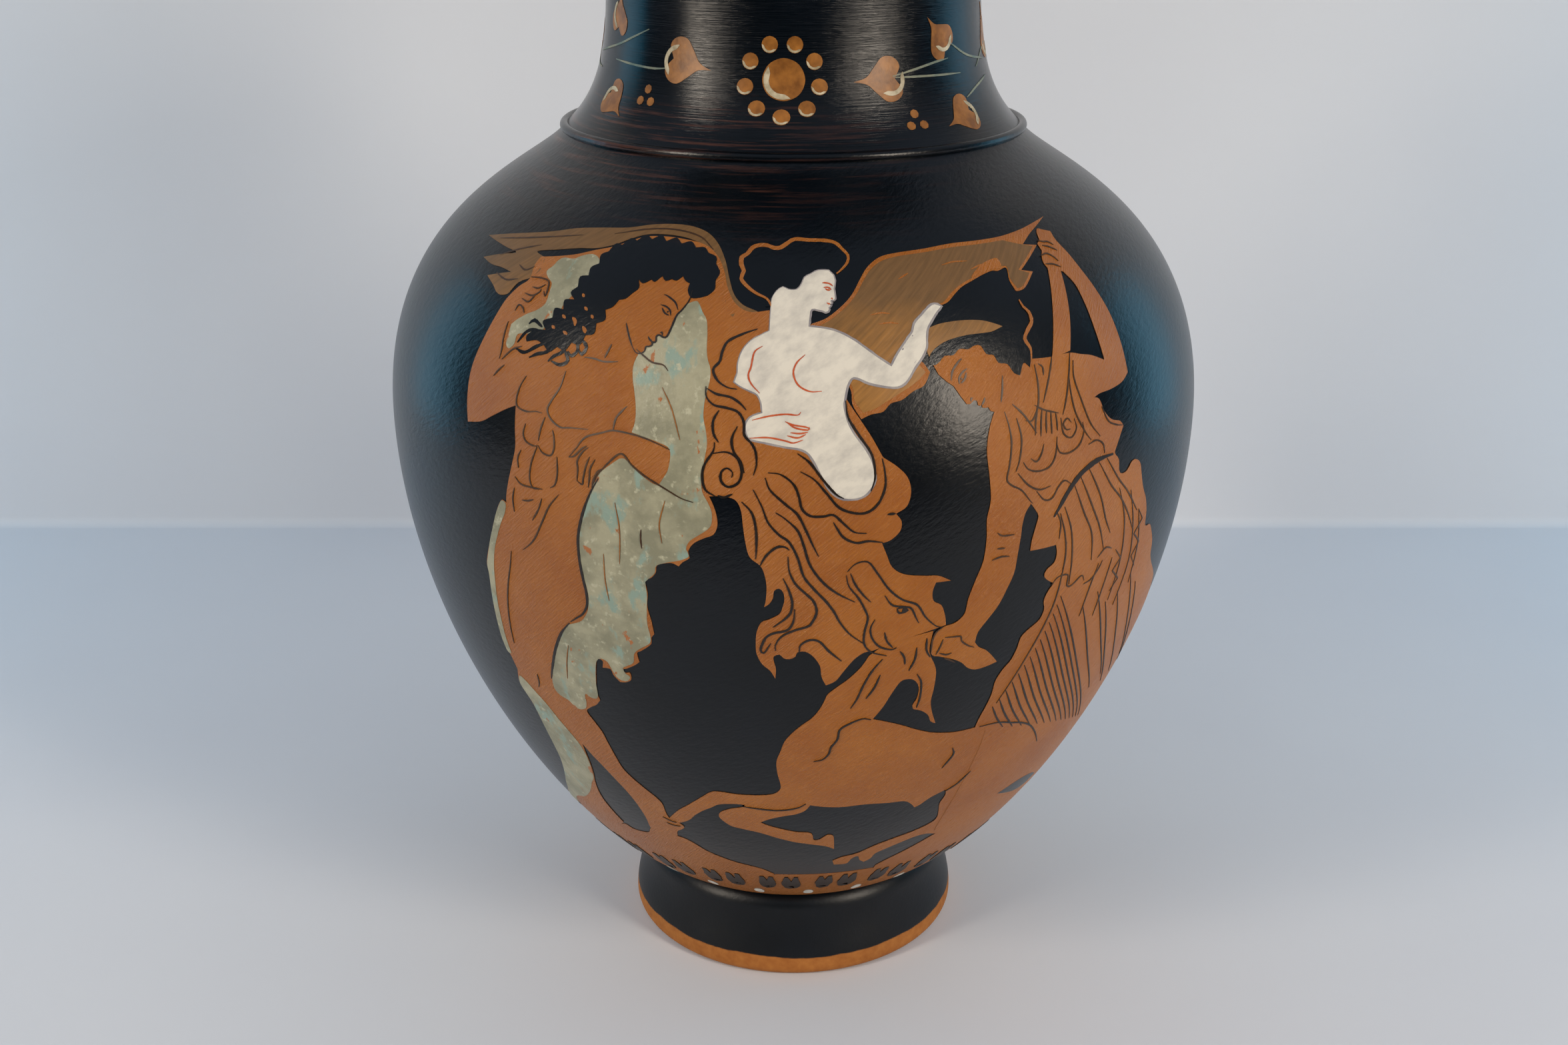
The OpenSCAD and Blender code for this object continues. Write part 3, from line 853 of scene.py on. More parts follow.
# The drapery that falls from the winged figure
DRAPERY = [
    (-22, 186), (-21.3, 182.5), (-20.3, 179.9, 1), (-17.5, 180.1), (-14, 179.5), (-12.5, 177),
    (-12, 173), (-11.5, 169), (-10.5, 165), (-8, 162.8), (-7, 160.5), (-6.5, 157), (-6.8, 153),
    (-7.2, 151.5, 1), (-6, 152.3), (-5, 154), (-4.7, 156), (-3.5, 156.7), (-2.5, 155.7), (-2.2, 153.5),
    (-2.8, 151), (-3.5, 149.5), (-6, 148), (-8, 147), (-9.2, 144), (-9.5, 140), (-9.3, 137.5),
    (-8, 134.5), (-6, 132.5), (-4.7, 130, 1), (-4.5, 133), (-5, 135.5), (-5, 137), (-3.5, 137.6),
    (-2.5, 136.5), (-1, 136.2), (0.5, 137), (1, 138.3), (3, 138.5), (5, 137), (6.8, 134), (7.3, 130.5),
    (8.5, 127.7, 1), (11, 129), (13, 132), (15.5, 135.5), (18, 137.5), (19.8, 137.8, 1), (30, 141, 1),
    (39.3, 143.3, 1), (38.8, 146), (37.5, 149.3), (35.3, 150.8), (34.8, 153.5), (35.5, 156, 1),
    (39.5, 156, 1), (36, 157.8), (32, 158.3), (27, 159.3), (24, 161.5), (22.5, 165), (21.3, 168, 1),
    (23.5, 168.7), (25.7, 170.8), (26, 173.3), (24.6, 175.3, 1), (27.3, 177), (28.3, 180.5),
    (27.5, 184), (25, 186.8), (21.5, 189.3, 1), (19, 194), (16.3, 198.3), (14.5, 201), (12, 205, 1),
    (0, 215, 1), (-6, 219, 1), (-12, 218), (-17, 216.5), (-20.5, 211), (-21.5, 206), (-22, 202),
    (-22, 196), (-22, 190),
]
DRAPERY_LINES = [
    [
        (-9.5, 220.2), (-13, 219), (-17, 217), (-18.3, 214.5), (-18.8, 212), (-20.3, 210), (-19, 207.5),
        (-16.5, 206), (-14, 205.6),
    ],
    [
        (-21.8, 206), (-21.5, 203.5), (-19.5, 201.7), (-16.5, 201.2), (-13.5, 200.3), (-12, 198),
        (-11.8, 195), (-10, 193), (-9, 191), (-8.8, 188), (-9.5, 185.5),
    ],
    [(-21.5, 205.5), (-19, 204.3), (-15.5, 203.7), (-13, 202.3), (-11.5, 200.8)],
    [(-18.2, 200.5), (-19.5, 198), (-19.3, 195), (-18, 193)],
    [(-13.5, 197), (-14.8, 194), (-14.3, 191), (-12.5, 188.5), (-11.7, 186)],
    [(-19, 193), (-19.2, 191), (-21.3, 187.5), (-21.8, 184.5), (-21, 181.5), (-18.5, 180)],
    [
        (-19.5, 190.3), (-16, 190.8), (-13.3, 189.3), (-12.3, 186), (-13.2, 183.5), (-15.5, 182.5),
        (-17.2, 183.8), (-17.2, 186), (-15.8, 187), (-14.5, 186), (-14.7, 184.8),
    ],
    [(-18, 180.3), (-16.5, 179.9), (-14.5, 180.8)],
    [(-12.3, 179), (-10, 176.5), (-9, 173), (-8.8, 169), (-9, 164.5)],
    [
        (-9.5, 182), (-7.5, 178), (-6, 174), (-3.5, 171), (-1, 169), (1, 165), (2.5, 160), (5, 156.5),
        (8, 153), (10, 150), (11.5, 147), (14, 143.5), (17.5, 140.5),
    ],
    [(-6.7, 185), (-5.5, 182), (-2, 178.7), (1, 176), (3, 172), (4.5, 168.5), (6, 165.3)],
    [
        (-6, 186.2), (-3, 185.8), (0, 183.5), (1.3, 180.5), (2, 177.5), (4, 175.7), (7, 175.5),
        (9.5, 175.8), (12, 173.5), (14.5, 171.3), (17.5, 170.8),
    ],
    [(1, 190.8), (4, 188.5), (7, 184.5), (10, 181), (12, 179.8)],
    [(12.8, 203), (13.3, 199), (16, 194.5), (18.8, 190), (19.5, 185), (18.5, 181.3)],
    [
        (1.7, 186.5), (5, 184.5), (8, 181), (11, 177.5), (15, 176), (18, 176.3), (20.5, 178.5),
        (22, 182.5), (21.8, 186.5), (21.3, 189),
    ],
    [(24.5, 175.4), (22.5, 175.3)],
    [(9.5, 174), (10.3, 172.5), (12, 170), (15, 168.5), (18, 168.8), (21.5, 168.2)],
    [(-4.2, 176.5), (-2, 175), (1, 172), (2.5, 168), (4, 163), (7, 158.5), (10.5, 155.3), (15, 152.6)],
    [(-8, 162.8), (-6.5, 165.5), (-4, 167.7), (-2, 167.8), (-1, 167)],
    [
        (-1.3, 165.3), (-1, 161.5), (0.5, 158), (3, 155.3), (5, 153), (5.7, 150), (4.5, 147),
        (3.5, 146), (0, 144.8), (-3, 143), (-4.5, 140.5), (-4.5, 138.8),
    ],
    [(-2.5, 159.5), (-1.2, 156.5), (-0.3, 153), (-0.7, 150), (-2.3, 148), (-5, 145.8)],
    [
        (0.3, 151), (0, 147.5), (-1.5, 145), (-5, 144), (-7, 142.5), (-8.3, 139), (-7.5, 138),
        (-6.5, 139.5), (-5.7, 141),
    ],
    [(1.5, 138.5), (1.8, 140.5), (4, 142), (6.5, 141.5), (9, 138.5), (12.3, 135.3)],
]

# The deer
DEER = [
    (19.5, 136.5, 1), (17.5, 133), (14.5, 129.5), (11, 126.5), (9, 124.5), (8.3, 122.5), (7, 119.5),
    (5, 116.5), (2, 113.8), (-0.5, 111), (-2.5, 108), (-3.8, 104), (-5, 100), (-4.8, 95), (-4, 90.5),
    (-4.3, 88), (-6.5, 86), (-11, 85.2), (-18, 85), (-24, 85.5), (-27, 84.8), (-30, 82.3),
    (-33.5, 79.3), (-37, 76.3), (-40.5, 73.5), (-44, 70), (-46.5, 67), (-45.5, 65, 1), (-42, 66.3),
    (-38, 68.8), (-35, 72), (-31.5, 75), (-28, 77.3), (-25, 79.3), (-20, 80.3), (-16, 80.3, 1),
    (-17, 79), (-21, 77.8), (-25, 75.5), (-26, 73), (-24.5, 70.5), (-22, 68.5), (-18, 67.5), (-12, 66),
    (-6, 63.5), (0, 61.3), (5, 60), (10, 58.8), (13, 57.8), (16, 56, 1), (15.5, 60), (14.7, 64),
    (12.5, 64.8), (10.5, 63), (9, 62), (7.5, 62.3), (7, 65), (5.5, 66.5), (1, 67), (-4, 68.5),
    (-9, 70.3), (-11.5, 71.8, 1), (-8, 73.8), (-3, 75.5), (1, 76.5), (4, 78.3), (5.5, 80.8, 1),
    (10, 79.8), (16, 79.2), (24, 79.5), (32, 78.8), (38, 78.3), (41, 76.3), (43, 74, 1), (45, 75),
    (48, 77.5), (53, 79.7, 1), (54, 77), (53.3, 73), (54.5, 69), (55.5, 65), (54, 62.5), (48, 60),
    (40, 57.8), (33, 55.3), (26, 51.5), (20, 50), (16.5, 48, 1), (17.5, 45, 1), (23, 45), (24.5, 48),
    (27, 49.5), (28.5, 46.5, 1), (31, 44.5, 1), (33.5, 46.5), (34.5, 49.5), (38, 51.5), (44, 54),
    (50, 55.8), (55, 55.8), (60, 54, 1), (66, 100, 1), (66, 106, 1), (57, 105.4, 1), (50, 105.3),
    (45, 106), (40, 107.3), (35, 109.5), (30, 112), (25, 114), (22, 115, 1), (24.5, 119), (26.3, 123),
    (28.5, 127), (30.5, 127.7), (32.5, 127), (34, 124.5), (34, 121), (33, 118.5), (33.5, 117, 1),
    (36, 116), (38.3, 114), (39.5, 111.5), (41.2, 110.5, 1), (39.3, 115), (38.3, 119), (38.5, 123),
    (38.4, 128.5), (37.5, 131.5), (36, 134.5), (35.5, 137), (36, 142, 1), (24, 140, 1),
]
DEER_LINES = [
    [
        (13, 161), (15, 163), (18, 163.3), (20.5, 160), (23.5, 155.5), (27, 152.3), (31, 150.3),
        (33.5, 146.5), (36.5, 143.5), (38.5, 142.8),
    ],
    [
        (12.8, 160), (13.5, 157), (16, 153.5), (18, 149.5), (18.5, 147.5), (17.8, 143.5), (18, 140),
        (20, 137.5), (24, 136),
    ],
    [(13.8, 160.5), (15, 157.5), (17, 154.5), (19, 152.3)],
    [(22.5, 153.8), (24.5, 151), (27.5, 150.2), (29.5, 149.5), (31, 146.5), (31.8, 145)],
    [(25.8, 149.8), (27.5, 150), (28.8, 149)],
    [(25.8, 149.8), (26.5, 148.5), (28.8, 149)],
    [(20.3, 147.2), (19.3, 144.5), (20, 141.5), (22, 139), (25, 137.8), (26.5, 138.2)],
    [(23, 143.2), (23.8, 140.5), (25.5, 138.3)],
    [(23, 135), (20.5, 131.5), (18.5, 127), (17, 122.5), (15.5, 119.5)],
    [(22.8, 130), (21.5, 126), (19.5, 122.5)],
    [(27.5, 137), (28.8, 135), (29.2, 132.7)],
    [(32, 137.5), (31.8, 134), (30.5, 130.5)],
    [
        (21.5, 115), (19, 115.5), (15.5, 114), (13, 112), (12.5, 108.5), (10.8, 105.5), (10.3, 103),
        (8.5, 100.8), (6, 100.2),
    ],
    [(49.5, 99), (50.5, 96), (48, 91)],
    [(53, 79), (57, 81.5), (60.5, 86)],
    [(-17, 79.5), (-12, 78.8), (-5, 78.3), (1, 79.5), (4, 81.5)],
    [(34.5, 140), (34.7, 136.5), (36, 134)],
    [(33, 129), (34.5, 126), (34.8, 121), (34.3, 117.5)],
    [(57, 105.3), (64, 104.8), (70, 102.8), (75, 101), (80, 98), (85, 93), (89, 88)],
]

# The woman: body, dress and hair
WOMAN_BODY = [
    (39.3, 143, 1), (42, 143.6), (44.2, 145.8), (44.8, 150), (46.3, 155), (48, 160), (48.5, 166),
    (48.3, 171), (49.2, 176), (48.8, 182), (48.3, 188), (49.2, 193), (51, 197), (53, 199.5, 1),
    (58, 203), (62, 206), (64.5, 208.5, 1), (68, 208.2), (72, 208), (78, 208), (82, 207), (86, 206),
    (90.5, 204, 1), (90.3, 212), (90.5, 219), (90.3, 224.5), (88.3, 228.5, 1), (83, 230, 1),
    (82.5, 232), (83.5, 234), (85, 235.5), (85, 237.5), (87, 238.5), (88.3, 240.8), (90, 242),
    (91.5, 241.5), (95, 240.3, 1), (94.3, 237.5), (95.5, 233), (96.5, 228), (98, 222), (99.3, 215),
    (99.6, 208), (99.5, 203), (99.3, 199, 1), (96, 197.3), (91, 196.5), (86, 196.3), (83.7, 195.7, 1),
    (85.5, 195), (87, 191.5), (89.5, 189), (93, 187.8), (94.3, 186.3, 1), (93, 184.5), (91, 181.5),
    (90.3, 180), (92, 178), (92.3, 175), (93.5, 173.8), (96, 174), (98, 175.8), (100, 176),
    (102.3, 174.5), (103.5, 171), (105, 167), (107.5, 163), (109, 159), (109.8, 154.5), (113, 153.8),
    (115, 151.5), (118, 147), (119.5, 142.5), (123, 138.5), (128, 134.5), (134, 129), (140, 118),
    (143, 105), (145, 90), (145, 70), (140, 55, 1), (60, 54, 1), (58, 62), (60, 100), (57, 104, 1),
    (55.3, 105, 1), (55.8, 108.5), (57, 113), (57.8, 117), (57.9, 121.5), (59.5, 125), (61.5, 127.5),
    (62.7, 131), (63.3, 134.5), (65.5, 136.5), (68.5, 138.5), (69.5, 141.5), (68.8, 144), (69.5, 146.5),
    (71.3, 148.8, 1), (69, 150.2), (67.5, 151.8), (68, 153.5), (70.3, 155), (70.8, 157.5),
    (70.2, 160, 1), (66, 160), (61.8, 160.2, 1), (62, 163), (63, 167), (63.5, 169.3), (62.5, 171),
    (61, 173, 1), (59.5, 171), (58.7, 168), (58.5, 165), (58, 160), (57.5, 155), (56, 151), (54, 146.5),
    (51.5, 143), (49, 139.5), (48.5, 136.3, 1), (50, 134.5), (52, 133.3), (54, 131.5), (56.8, 128.3, 1),
    (53.5, 127.5), (50, 127.3), (47.5, 128.5), (45.5, 130.5), (43, 132), (40.5, 133), (38.5, 133.8, 1),
    (36.5, 134.5), (35.8, 137), (36, 140), (37.2, 142),
]
QUIVER_STRAP = [
    (71.5, 207.5, 1), (77, 219), (83, 230.5, 1), (88, 230, 1), (83, 218), (78.5, 208.5, 1),
]
HILL_GAP = [
    (84, 66, 1), (92, 63), (100, 60.5), (108, 60), (112, 63, 1), (105, 66.5), (95, 68),
]
WOMAN_HEAD_BACK = [
    (56, 198), (60, 203), (64.5, 208.5), (62, 212), (55, 215), (46, 215), (40, 214),
]
WOMAN_HAIR = [
    (35, 210.5, 1), (36, 213), (40, 215.3), (46, 216.4), (53, 216.5), (58, 216.5), (63, 216), (65, 213),
    (64.7, 209), (63.7, 206.5, 1), (62, 207.8), (60.2, 205, 1), (58.5, 205.8), (57, 208.2),
    (54.5, 208.8), (53.5, 210.8), (51.5, 211.3), (50.3, 213.5), (48.5, 213.7), (46.5, 213), (44, 213.3),
    (42, 212), (39.5, 212), (38, 210.8), (36.5, 210),
]
WOMAN_RINGLET = [
    [
        (64.8, 208.5), (65.3, 211), (64.3, 213.5), (66, 215.5), (68.3, 217.5), (68.5, 220),
        (67.3, 221.5), (66.8, 223.5),
    ],
]
WOMAN_LINES = [
    [(73.8, 160), (73.8, 152), (73, 144), (71, 137), (67.5, 128.5), (64, 120.5), (60.5, 113)],
    [(72, 170), (75, 163), (76.5, 155), (77, 147)],
    [(75, 175), (79, 167), (83, 160), (84.5, 152)],
    [(77, 177), (82, 168), (86, 161), (89, 154)],
    [(80, 178.5), (85, 170), (88, 163), (91, 158)],
    [(84, 179), (89, 172), (94, 167), (98, 162), (102, 156)],
    [(87, 179.5), (92, 173), (97, 168), (103, 161)],
    [(93, 170), (97, 160), (98.5, 148), (97, 136)],
    [(98.5, 168), (102, 157), (103.5, 146), (101, 133)],
    [(104, 161), (107, 150), (107, 138)],
    [(88, 150), (86, 143), (84.5, 135)],
    [(104, 161), (107, 157.5, 1), (103.5, 154, 1), (107.5, 150.5, 1), (104.5, 147, 1), (108, 143, 1)],
    [(95, 152), (98.5, 148.5, 1), (95.5, 145.5, 1), (99.5, 142, 1), (96.5, 139, 1)],
    [(94, 150), (92.5, 142), (91, 133)],
    [(69.5, 169), (71, 166), (71, 161.5)],
    [(70.7, 168.5), (73, 162), (74, 156), (73.6, 150)],
    [(70.5, 148.5), (72.5, 150.3), (76, 150), (76.3, 147), (78, 146.3), (81.5, 148.3), (83, 146.5)],
    [(83, 145.3), (86, 146), (88.5, 148.5), (89.5, 150.5)],
    [(87, 152), (90, 154), (93, 153)],
    [
        (54, 197), (55, 193), (55.3, 189), (54.5, 184), (53.7, 180.5), (55, 178.8), (58, 177),
        (60.5, 174), (61.5, 173),
    ],
    [(57.3, 195), (58.3, 190), (57.5, 185), (56.3, 182)],
    [(56.5, 198.5), (59.5, 195.5), (63, 190.5)],
    [(58.5, 184), (60, 182), (63, 181), (66.5, 181.5), (68.5, 184), (69.3, 188.5)],
    [(60.8, 184.5), (62.5, 183.5), (64, 185), (65, 187.5)],
    [(56.8, 181.5), (60, 178), (63.5, 176.2), (67, 176.5)],
    [(62.5, 176), (65, 173.3), (67.5, 173.2), (69.5, 175.8), (71.5, 177), (74, 175.5)],
    [(74.4, 191.2), (73.2, 192.4), (71.7, 191.4), (72.4, 189.8), (74, 189.6)],
    [(71, 193), (71.5, 189), (74, 187.5), (76, 189.5), (75.5, 192)],
    [(69, 187), (70, 184.5), (73, 183.8), (76.5, 185), (78.5, 188), (78.3, 190.5)],
    [(75.8, 202), (75.5, 198), (76.3, 193), (79, 188), (81, 185.5)],
    [(78.5, 206), (77.5, 202), (78.5, 197), (81, 190), (84.5, 185.7)],
    [(86, 193), (88, 189), (91, 187.3), (94, 186.5)],
    [(80, 184.5), (83, 185), (85.5, 183.5), (86, 181)],
    [(66, 197.5), (70, 205), (71.5, 208)],
    [(71.8, 193.5), (73.5, 197), (76, 203), (78, 208)],
    [(65.3, 207), (65.2, 202), (64.2, 197), (62, 193.8), (59.8, 194)],
    [(66.5, 207), (67.7, 206), (67.5, 204)],
    [(63.2, 197.3), (66, 195.7), (70.5, 194.2)],
    [(64, 196.5), (63, 193.5), (62.5, 190)],
    [(65.3, 196), (64.6, 193), (64.2, 189.5)],
    [(66.7, 195.6), (66.2, 193), (66, 190)],
    [(68, 195), (67.8, 192.5), (67.7, 189.5)],
    [(69.5, 194.4), (69.6, 192), (69.6, 190)],
    [(86, 238.5), (88, 237.8), (90, 237.5), (91.5, 236.3)],
    [(86.5, 236.8), (89, 236), (91.5, 234.5)],
    [(83, 234), (86, 234.3), (88, 233), (89, 231.5)],
    [(83, 231.5), (86, 231), (88.5, 229.8)],
    [(51.5, 167), (53, 166), (56.5, 165.7)],
    [(51.7, 162.7), (54, 162.5)],
    [(50.5, 159.8), (53, 160.3), (55.5, 160)],
    [(38.5, 142.8), (36.8, 141.5), (36, 139), (36, 135)],
    [(39, 139), (38.5, 137), (37.5, 134.5)],
    [(39.5, 139.5), (42, 139.3), (44, 139), (44.5, 137.5), (46.5, 135.8), (48.5, 134.8)],
    [(38.5, 134.8), (40.5, 134), (42, 134.3)],
    [(40, 133), (42, 132), (43.5, 131)],
]
BELT = [
    [(68.5, 168), (70, 170), (73, 174), (77, 177.5), (82, 179.5), (86, 180), (89.5, 180)],
]

# The ground under the figures
LEFT_HILL = [
    (-165, 22, 1), (-150, 25), (-135, 32), (-120, 42), (-110, 48), (-100, 49), (-90, 50), (-80, 51),
    (-74, 54), (-70, 52.5), (-62, 54), (-58, 58), (-50, 57.5), (-44, 56.5), (-40, 54), (-36, 50.5),
    (-30, 47.5), (-25, 45.5), (-18, 43.5), (-13, 41.5), (-9, 38.5, 1), (-9, 36, 1), (-80, 34, 1),
    (-150, 22, 1),
]
RIGHT_HILL = [
    (38, 40, 1), (42, 43), (48, 46.5), (54, 50), (60, 53.5), (70, 56, 1), (140, 58, 1), (150, 40),
    (158, 24, 1), (150, 22, 1), (80, 34, 1), (38, 36, 1),
]

# The ivy: u, v, size, the way the tip points and the side of the white edge, in degrees
IVY = [
    (-28.8, 24.6, 7.8, -12, 160), (22.6, 20.6, 7.6, 182, -50), (42.5, 30, 6.8, 130, -70),
    (45.5, 9.2, 7, 200, 10), (-52.5, 12.5, 6.8, -35, 120), (-57, 34.5, 6.6, 80, 180),
]
DOT_TRIOS = [(-39.6, 14.9), (30, 9.2)]
TENDRILS = [
    [(-72, 24), (-57, 27), (-49, 29.5), (-42, 32)],
    [(-57, 23.2), (-40.5, 22.4), (-34, 22.8)],
    [(25.7, 21.3), (38.7, 23.7), (45.3, 24.5)],
    [(26, 21), (38.7, 20.6), (50, 20.3)],
    [(46, 28.7), (55, 24.5), (67, 22.4)],
    [(50, 13.7), (57, 16), (66, 18)],
]

# ---------------------------------------------------------------- a stock face for all the figures
# x runs forward from the line of chin and hairline and y up from the chin, as shares of that line.

PROFILE = [
    (0, 1), (0.07, 0.88), (0.09, 0.74), (0.09, 0.64), (0.15, 0.5), (0.19, 0.385), (0.165, 0.345),
    (0.1, 0.325), (0.085, 0.285), (0.125, 0.245), (0.115, 0.215), (0.09, 0.205), (0.12, 0.18),
    (0.1, 0.135), (0.075, 0.11), (0.1, 0.06), (0.085, 0.01), (0.03, -0.03), (-0.06, -0.02),
]
JAW = [(-0.06, -0.02), (-0.2, 0.03), (-0.36, 0.1), (-0.46, 0.24), (-0.5, 0.38)]
FEATURES = [
    [(0.03, 0.585), (-0.03, 0.62), (-0.11, 0.615), (-0.19, 0.575)],
    [(0.01, 0.57), (-0.06, 0.55), (-0.14, 0.565)],
    [(-0.035, 0.6), (-0.045, 0.575)],
    [(0.05, 0.7), (-0.06, 0.735), (-0.2, 0.715), (-0.26, 0.69)],
    [(0.1, 0.205), (0.04, 0.2), (0, 0.21)],
    [(0.135, 0.35), (0.1, 0.37), (0.085, 0.35)],
]


def on_head(hairline, chin, facing, shape):
    """Points of the stock face laid between a hairline and a chin, looking right (1) or left (-1)."""
    up = Vector(hairline) - Vector(chin)
    forward = facing * Vector((up.y, -up.x))
    return [tuple(Vector(chin) + x * forward + y * up) for x, y in shape]


# Hairline, chin and the way that each head looks
YOUTH_HEAD = ((-29, 229.5), (-41.5, 213.5), 1)
WOMAN_HEAD = ((36, 210.3), (52.3, 198.6), -1)
WINGED_HEAD = ((11.8, 234.3), (8.6, 224.9), 1)

# ---------------------------------------------------------------- stock ornaments


def round_points(u, v, radius, start, end, count):
    """Points along a circle round u, v, from start to end degrees."""
    angles = np.radians(np.linspace(start, end, count))
    return [(u + radius * math.cos(a), v + radius * math.sin(a)) for a in angles]


def disc(u, v, radius):
    """A dab of slip from the flat of a brush."""
    return round_points(u, v, radius, 0, 315, 8)


def crescent(u, v, radius, side):
    """The highlight along a dab's edge, centred on the side in degrees."""
    outer = round_points(u, v, radius, side - 75, side + 75, 7)
    inner_edge = round_points(u, v, 0.74 * radius, side + 60, side - 60, 5)
    return [(*outer[0], 1), *outer[1:-1], (*outer[-1], 1), *inner_edge]


def laid_at(shape, u, v, size, turn):
    """A shape drawn along x, enlarged, turned by turn degrees and moved to u, v."""
    cos, sin = size * math.cos(math.radians(turn)), size * math.sin(math.radians(turn))
    return [(u + x * cos - y * sin, v + x * sin + y * cos, *corner) for x, y, *corner in shape]


def ivy_leaf(u, v, size, turn):
    """A heart-shaped leaf with its tip size mm from its middle, in the direction turn, in degrees."""
    heart = [(1, 0, 1), (0.55, 0.12), (0.25, 0.42), (-0.1, 0.74), (-0.5, 0.7), (-0.72, 0.4), (-0.48, 0, 1)]
    heart += [(x, -y) for x, y, *_ in heart[-2:0:-1]]
    return laid_at(heart, u, v, size, turn)


def petal(u, v, start, end, width, turn):
    """A palmette petal that points in the direction turn, in degrees, from a middle at u, v."""
    length = end - start
    half = [(start, 0, 1), (start + 0.55 * length, width * 0.42), (start + 0.85 * length, width * 0.5)]
    shape = half + [(end, 0)] + [(x, -y) for x, y, *_ in half[:0:-1]]
    return laid_at(shape, u, v, 1, turn)


def scroll(u, v, radius, turns, start, hand):
    """A spiral line that winds in to a middle at u, v; hand is 1 or -1."""
    steps = round(turns * 14)
    points = []
    for i in range(steps):
        angle = math.radians(start) + hand * math.tau * turns * i / steps
        reach = radius * (1 - 0.93 * i / steps)
        points.append((u + reach * math.cos(angle), v + reach * math.sin(angle)))
    return points


# ---------------------------------------------------------------- laying on the slips
# Heights of the layers over the wall, in mm, in the order in which they were brushed on.

GROUND, UNDER = 0.10, 0.12
DEER_COAT, WING, BODY, DRAPED, FRONT_BODY, FEATHER = 0.14, 0.15, 0.16, 0.17, 0.18, 0.19
OVER, EDGE, HAIR, CURLS = 0.20, 0.22, 0.24, 0.27
LINE, TOP_LINE = 0.30, 0.32
BAND_LOW, BAND_HIGH = 4, 39      # v of the reserved band's two edges
TONGUE_PAIRS = 26
GARLAND_V = 21                   # v of the line that the ivy winds round
BACK_LEAVES = 7                  # ivy leaves between the two ends of the front's garland


def paint_ground():
    """The reserved band over the foot, with its row of tongues and dots, and the hills."""
    band = (BELLY.v > BAND_LOW) & (BELLY.v < BAND_HIGH)
    line = np.column_stack([BELLY.r, BELLY.z])[band]
    out = BELLY.out[band]
    outline = [*(line + GROUND * out), *(line - SINK * out)[::-1]]
    lathe("ground_band", outline, [ORANGE], wall=BELLY)
    paint("hills", BELLY, ORANGE, UNDER, [LEFT_HILL, RIGHT_HILL])
    tongues, dots = [], []
    period = 360 * BELLY.mm_per_degree / TONGUE_PAIRS
    for k in range(TONGUE_PAIRS):
        u = -41 + k * period
        tongues += [
            [(u - 2.6, 36), (u - 2, 30), (u - 0.6, 25.8), (u + 1, 29.5), (u + 1.8, 36)],
            [(u + 9.2, 36), (u + 9.6, 28.5), (u + 11.2, 25.8), (u + 13.2, 28), (u + 13.8, 36)],
        ]
        dots.append(disc(u - 7.2, 19, 2.9))
    paint("tongues", BELLY, DARK_LINE, LINE, strokes=tongues, width=3.1)
    paint("tongue_dots", BELLY, WHITE, OVER, dots)


def head_lines(head):
    """A stock head's profile, jaw and drawn features, laid where the head is."""
    profile, jaw = on_head(*head, PROFILE), on_head(*head, JAW)
    return profile, jaw, [on_head(*head, line) for line in FEATURES]


def paint_youth():
    """The youth on the left, with a cloak behind and a cloth in the raised hand."""
    profile, jaw, features = head_lines(YOUTH_HEAD)
    face = [(*p, 1) for p in profile + jaw[1:]]
    cloth = [CLOAK, CLOAK_BACK, CLOAK_TAIL, HAND_CLOTH]
    drawn = [profile, jaw[:3], *features]
    paint("youth_body", BELLY, ORANGE, BODY, [YOUTH_BODY])
    paint("youth_cloak", BELLY, CLOAK_GREEN, OVER, cloth)
    paint("youth_face", BELLY, ORANGE, HAIR, [face])
    paint("youth_hair", BELLY, BLACK, CURLS, [YOUTH_HAIR], HAIR_LOCKS, 0.9)
    paint("hair_gaps", BELLY, ORANGE, LINE, strokes=HAIR_GAPS, width=0.9)
    paint("youth_lines", BELLY, THIN_LINE, LINE, strokes=YOUTH_LINES, width=0.42)
    paint("youth_features", BELLY, DARK_LINE, LINE, strokes=drawn, width=0.45)
    paint("youth_folds", BELLY, DARK_LINE, LINE, strokes=BOLD_FOLDS, width=0.75)
    paint("cloak_folds", BELLY, OCHRE, LINE, strokes=CLOAK_FOLDS, width=0.3)


def paint_winged_figure():
    """The white winged figure that rises from the drapery in the middle."""
    profile, _, features = head_lines(WINGED_HEAD)
    body = WINGED_BODY_TOP + [(*p, 1) for p in profile] + WINGED_BODY_REST
    feathered = [LEFT_WING, RIGHT_WING_DOWN, RIGHT_WING_LOWER]
    drawn = WINGED_LINES + features
    paint("wing_ground", BELLY, ORANGE, UNDER, [RIGHT_WING])
    paint("wings", BELLY, OLIVE, WING, feathered)
    paint("feather_lines", BELLY, THIN_LINE, FEATHER, strokes=FEATHER_LINES, width=0.5)
    paint("wing_bare_patches", BELLY, ORANGE, FRONT_BODY, [WING_PATCH], WING_GLINTS, 0.4)
    paint("drapery", BELLY, ORANGE, DRAPED, [DRAPERY])
    paint("drapery_folds", BELLY, DARK_LINE, LINE, strokes=DRAPERY_LINES, width=0.6)
    paint("winged_hair", BELLY, BLACK, OVER, [WINGED_HAIR])
    paint("winged_hair_edge", BELLY, ORANGE, EDGE, strokes=[WINGED_HAIR], width=1.1)
    paint("winged_body_edge", BELLY, GREY_EDGE, EDGE, strokes=[body + body[:1]], width=1.1)
    paint("winged_body", BELLY, WHITE, HAIR, [body])
    paint("winged_lines", BELLY, RED_LINE, LINE, strokes=drawn, width=0.4)


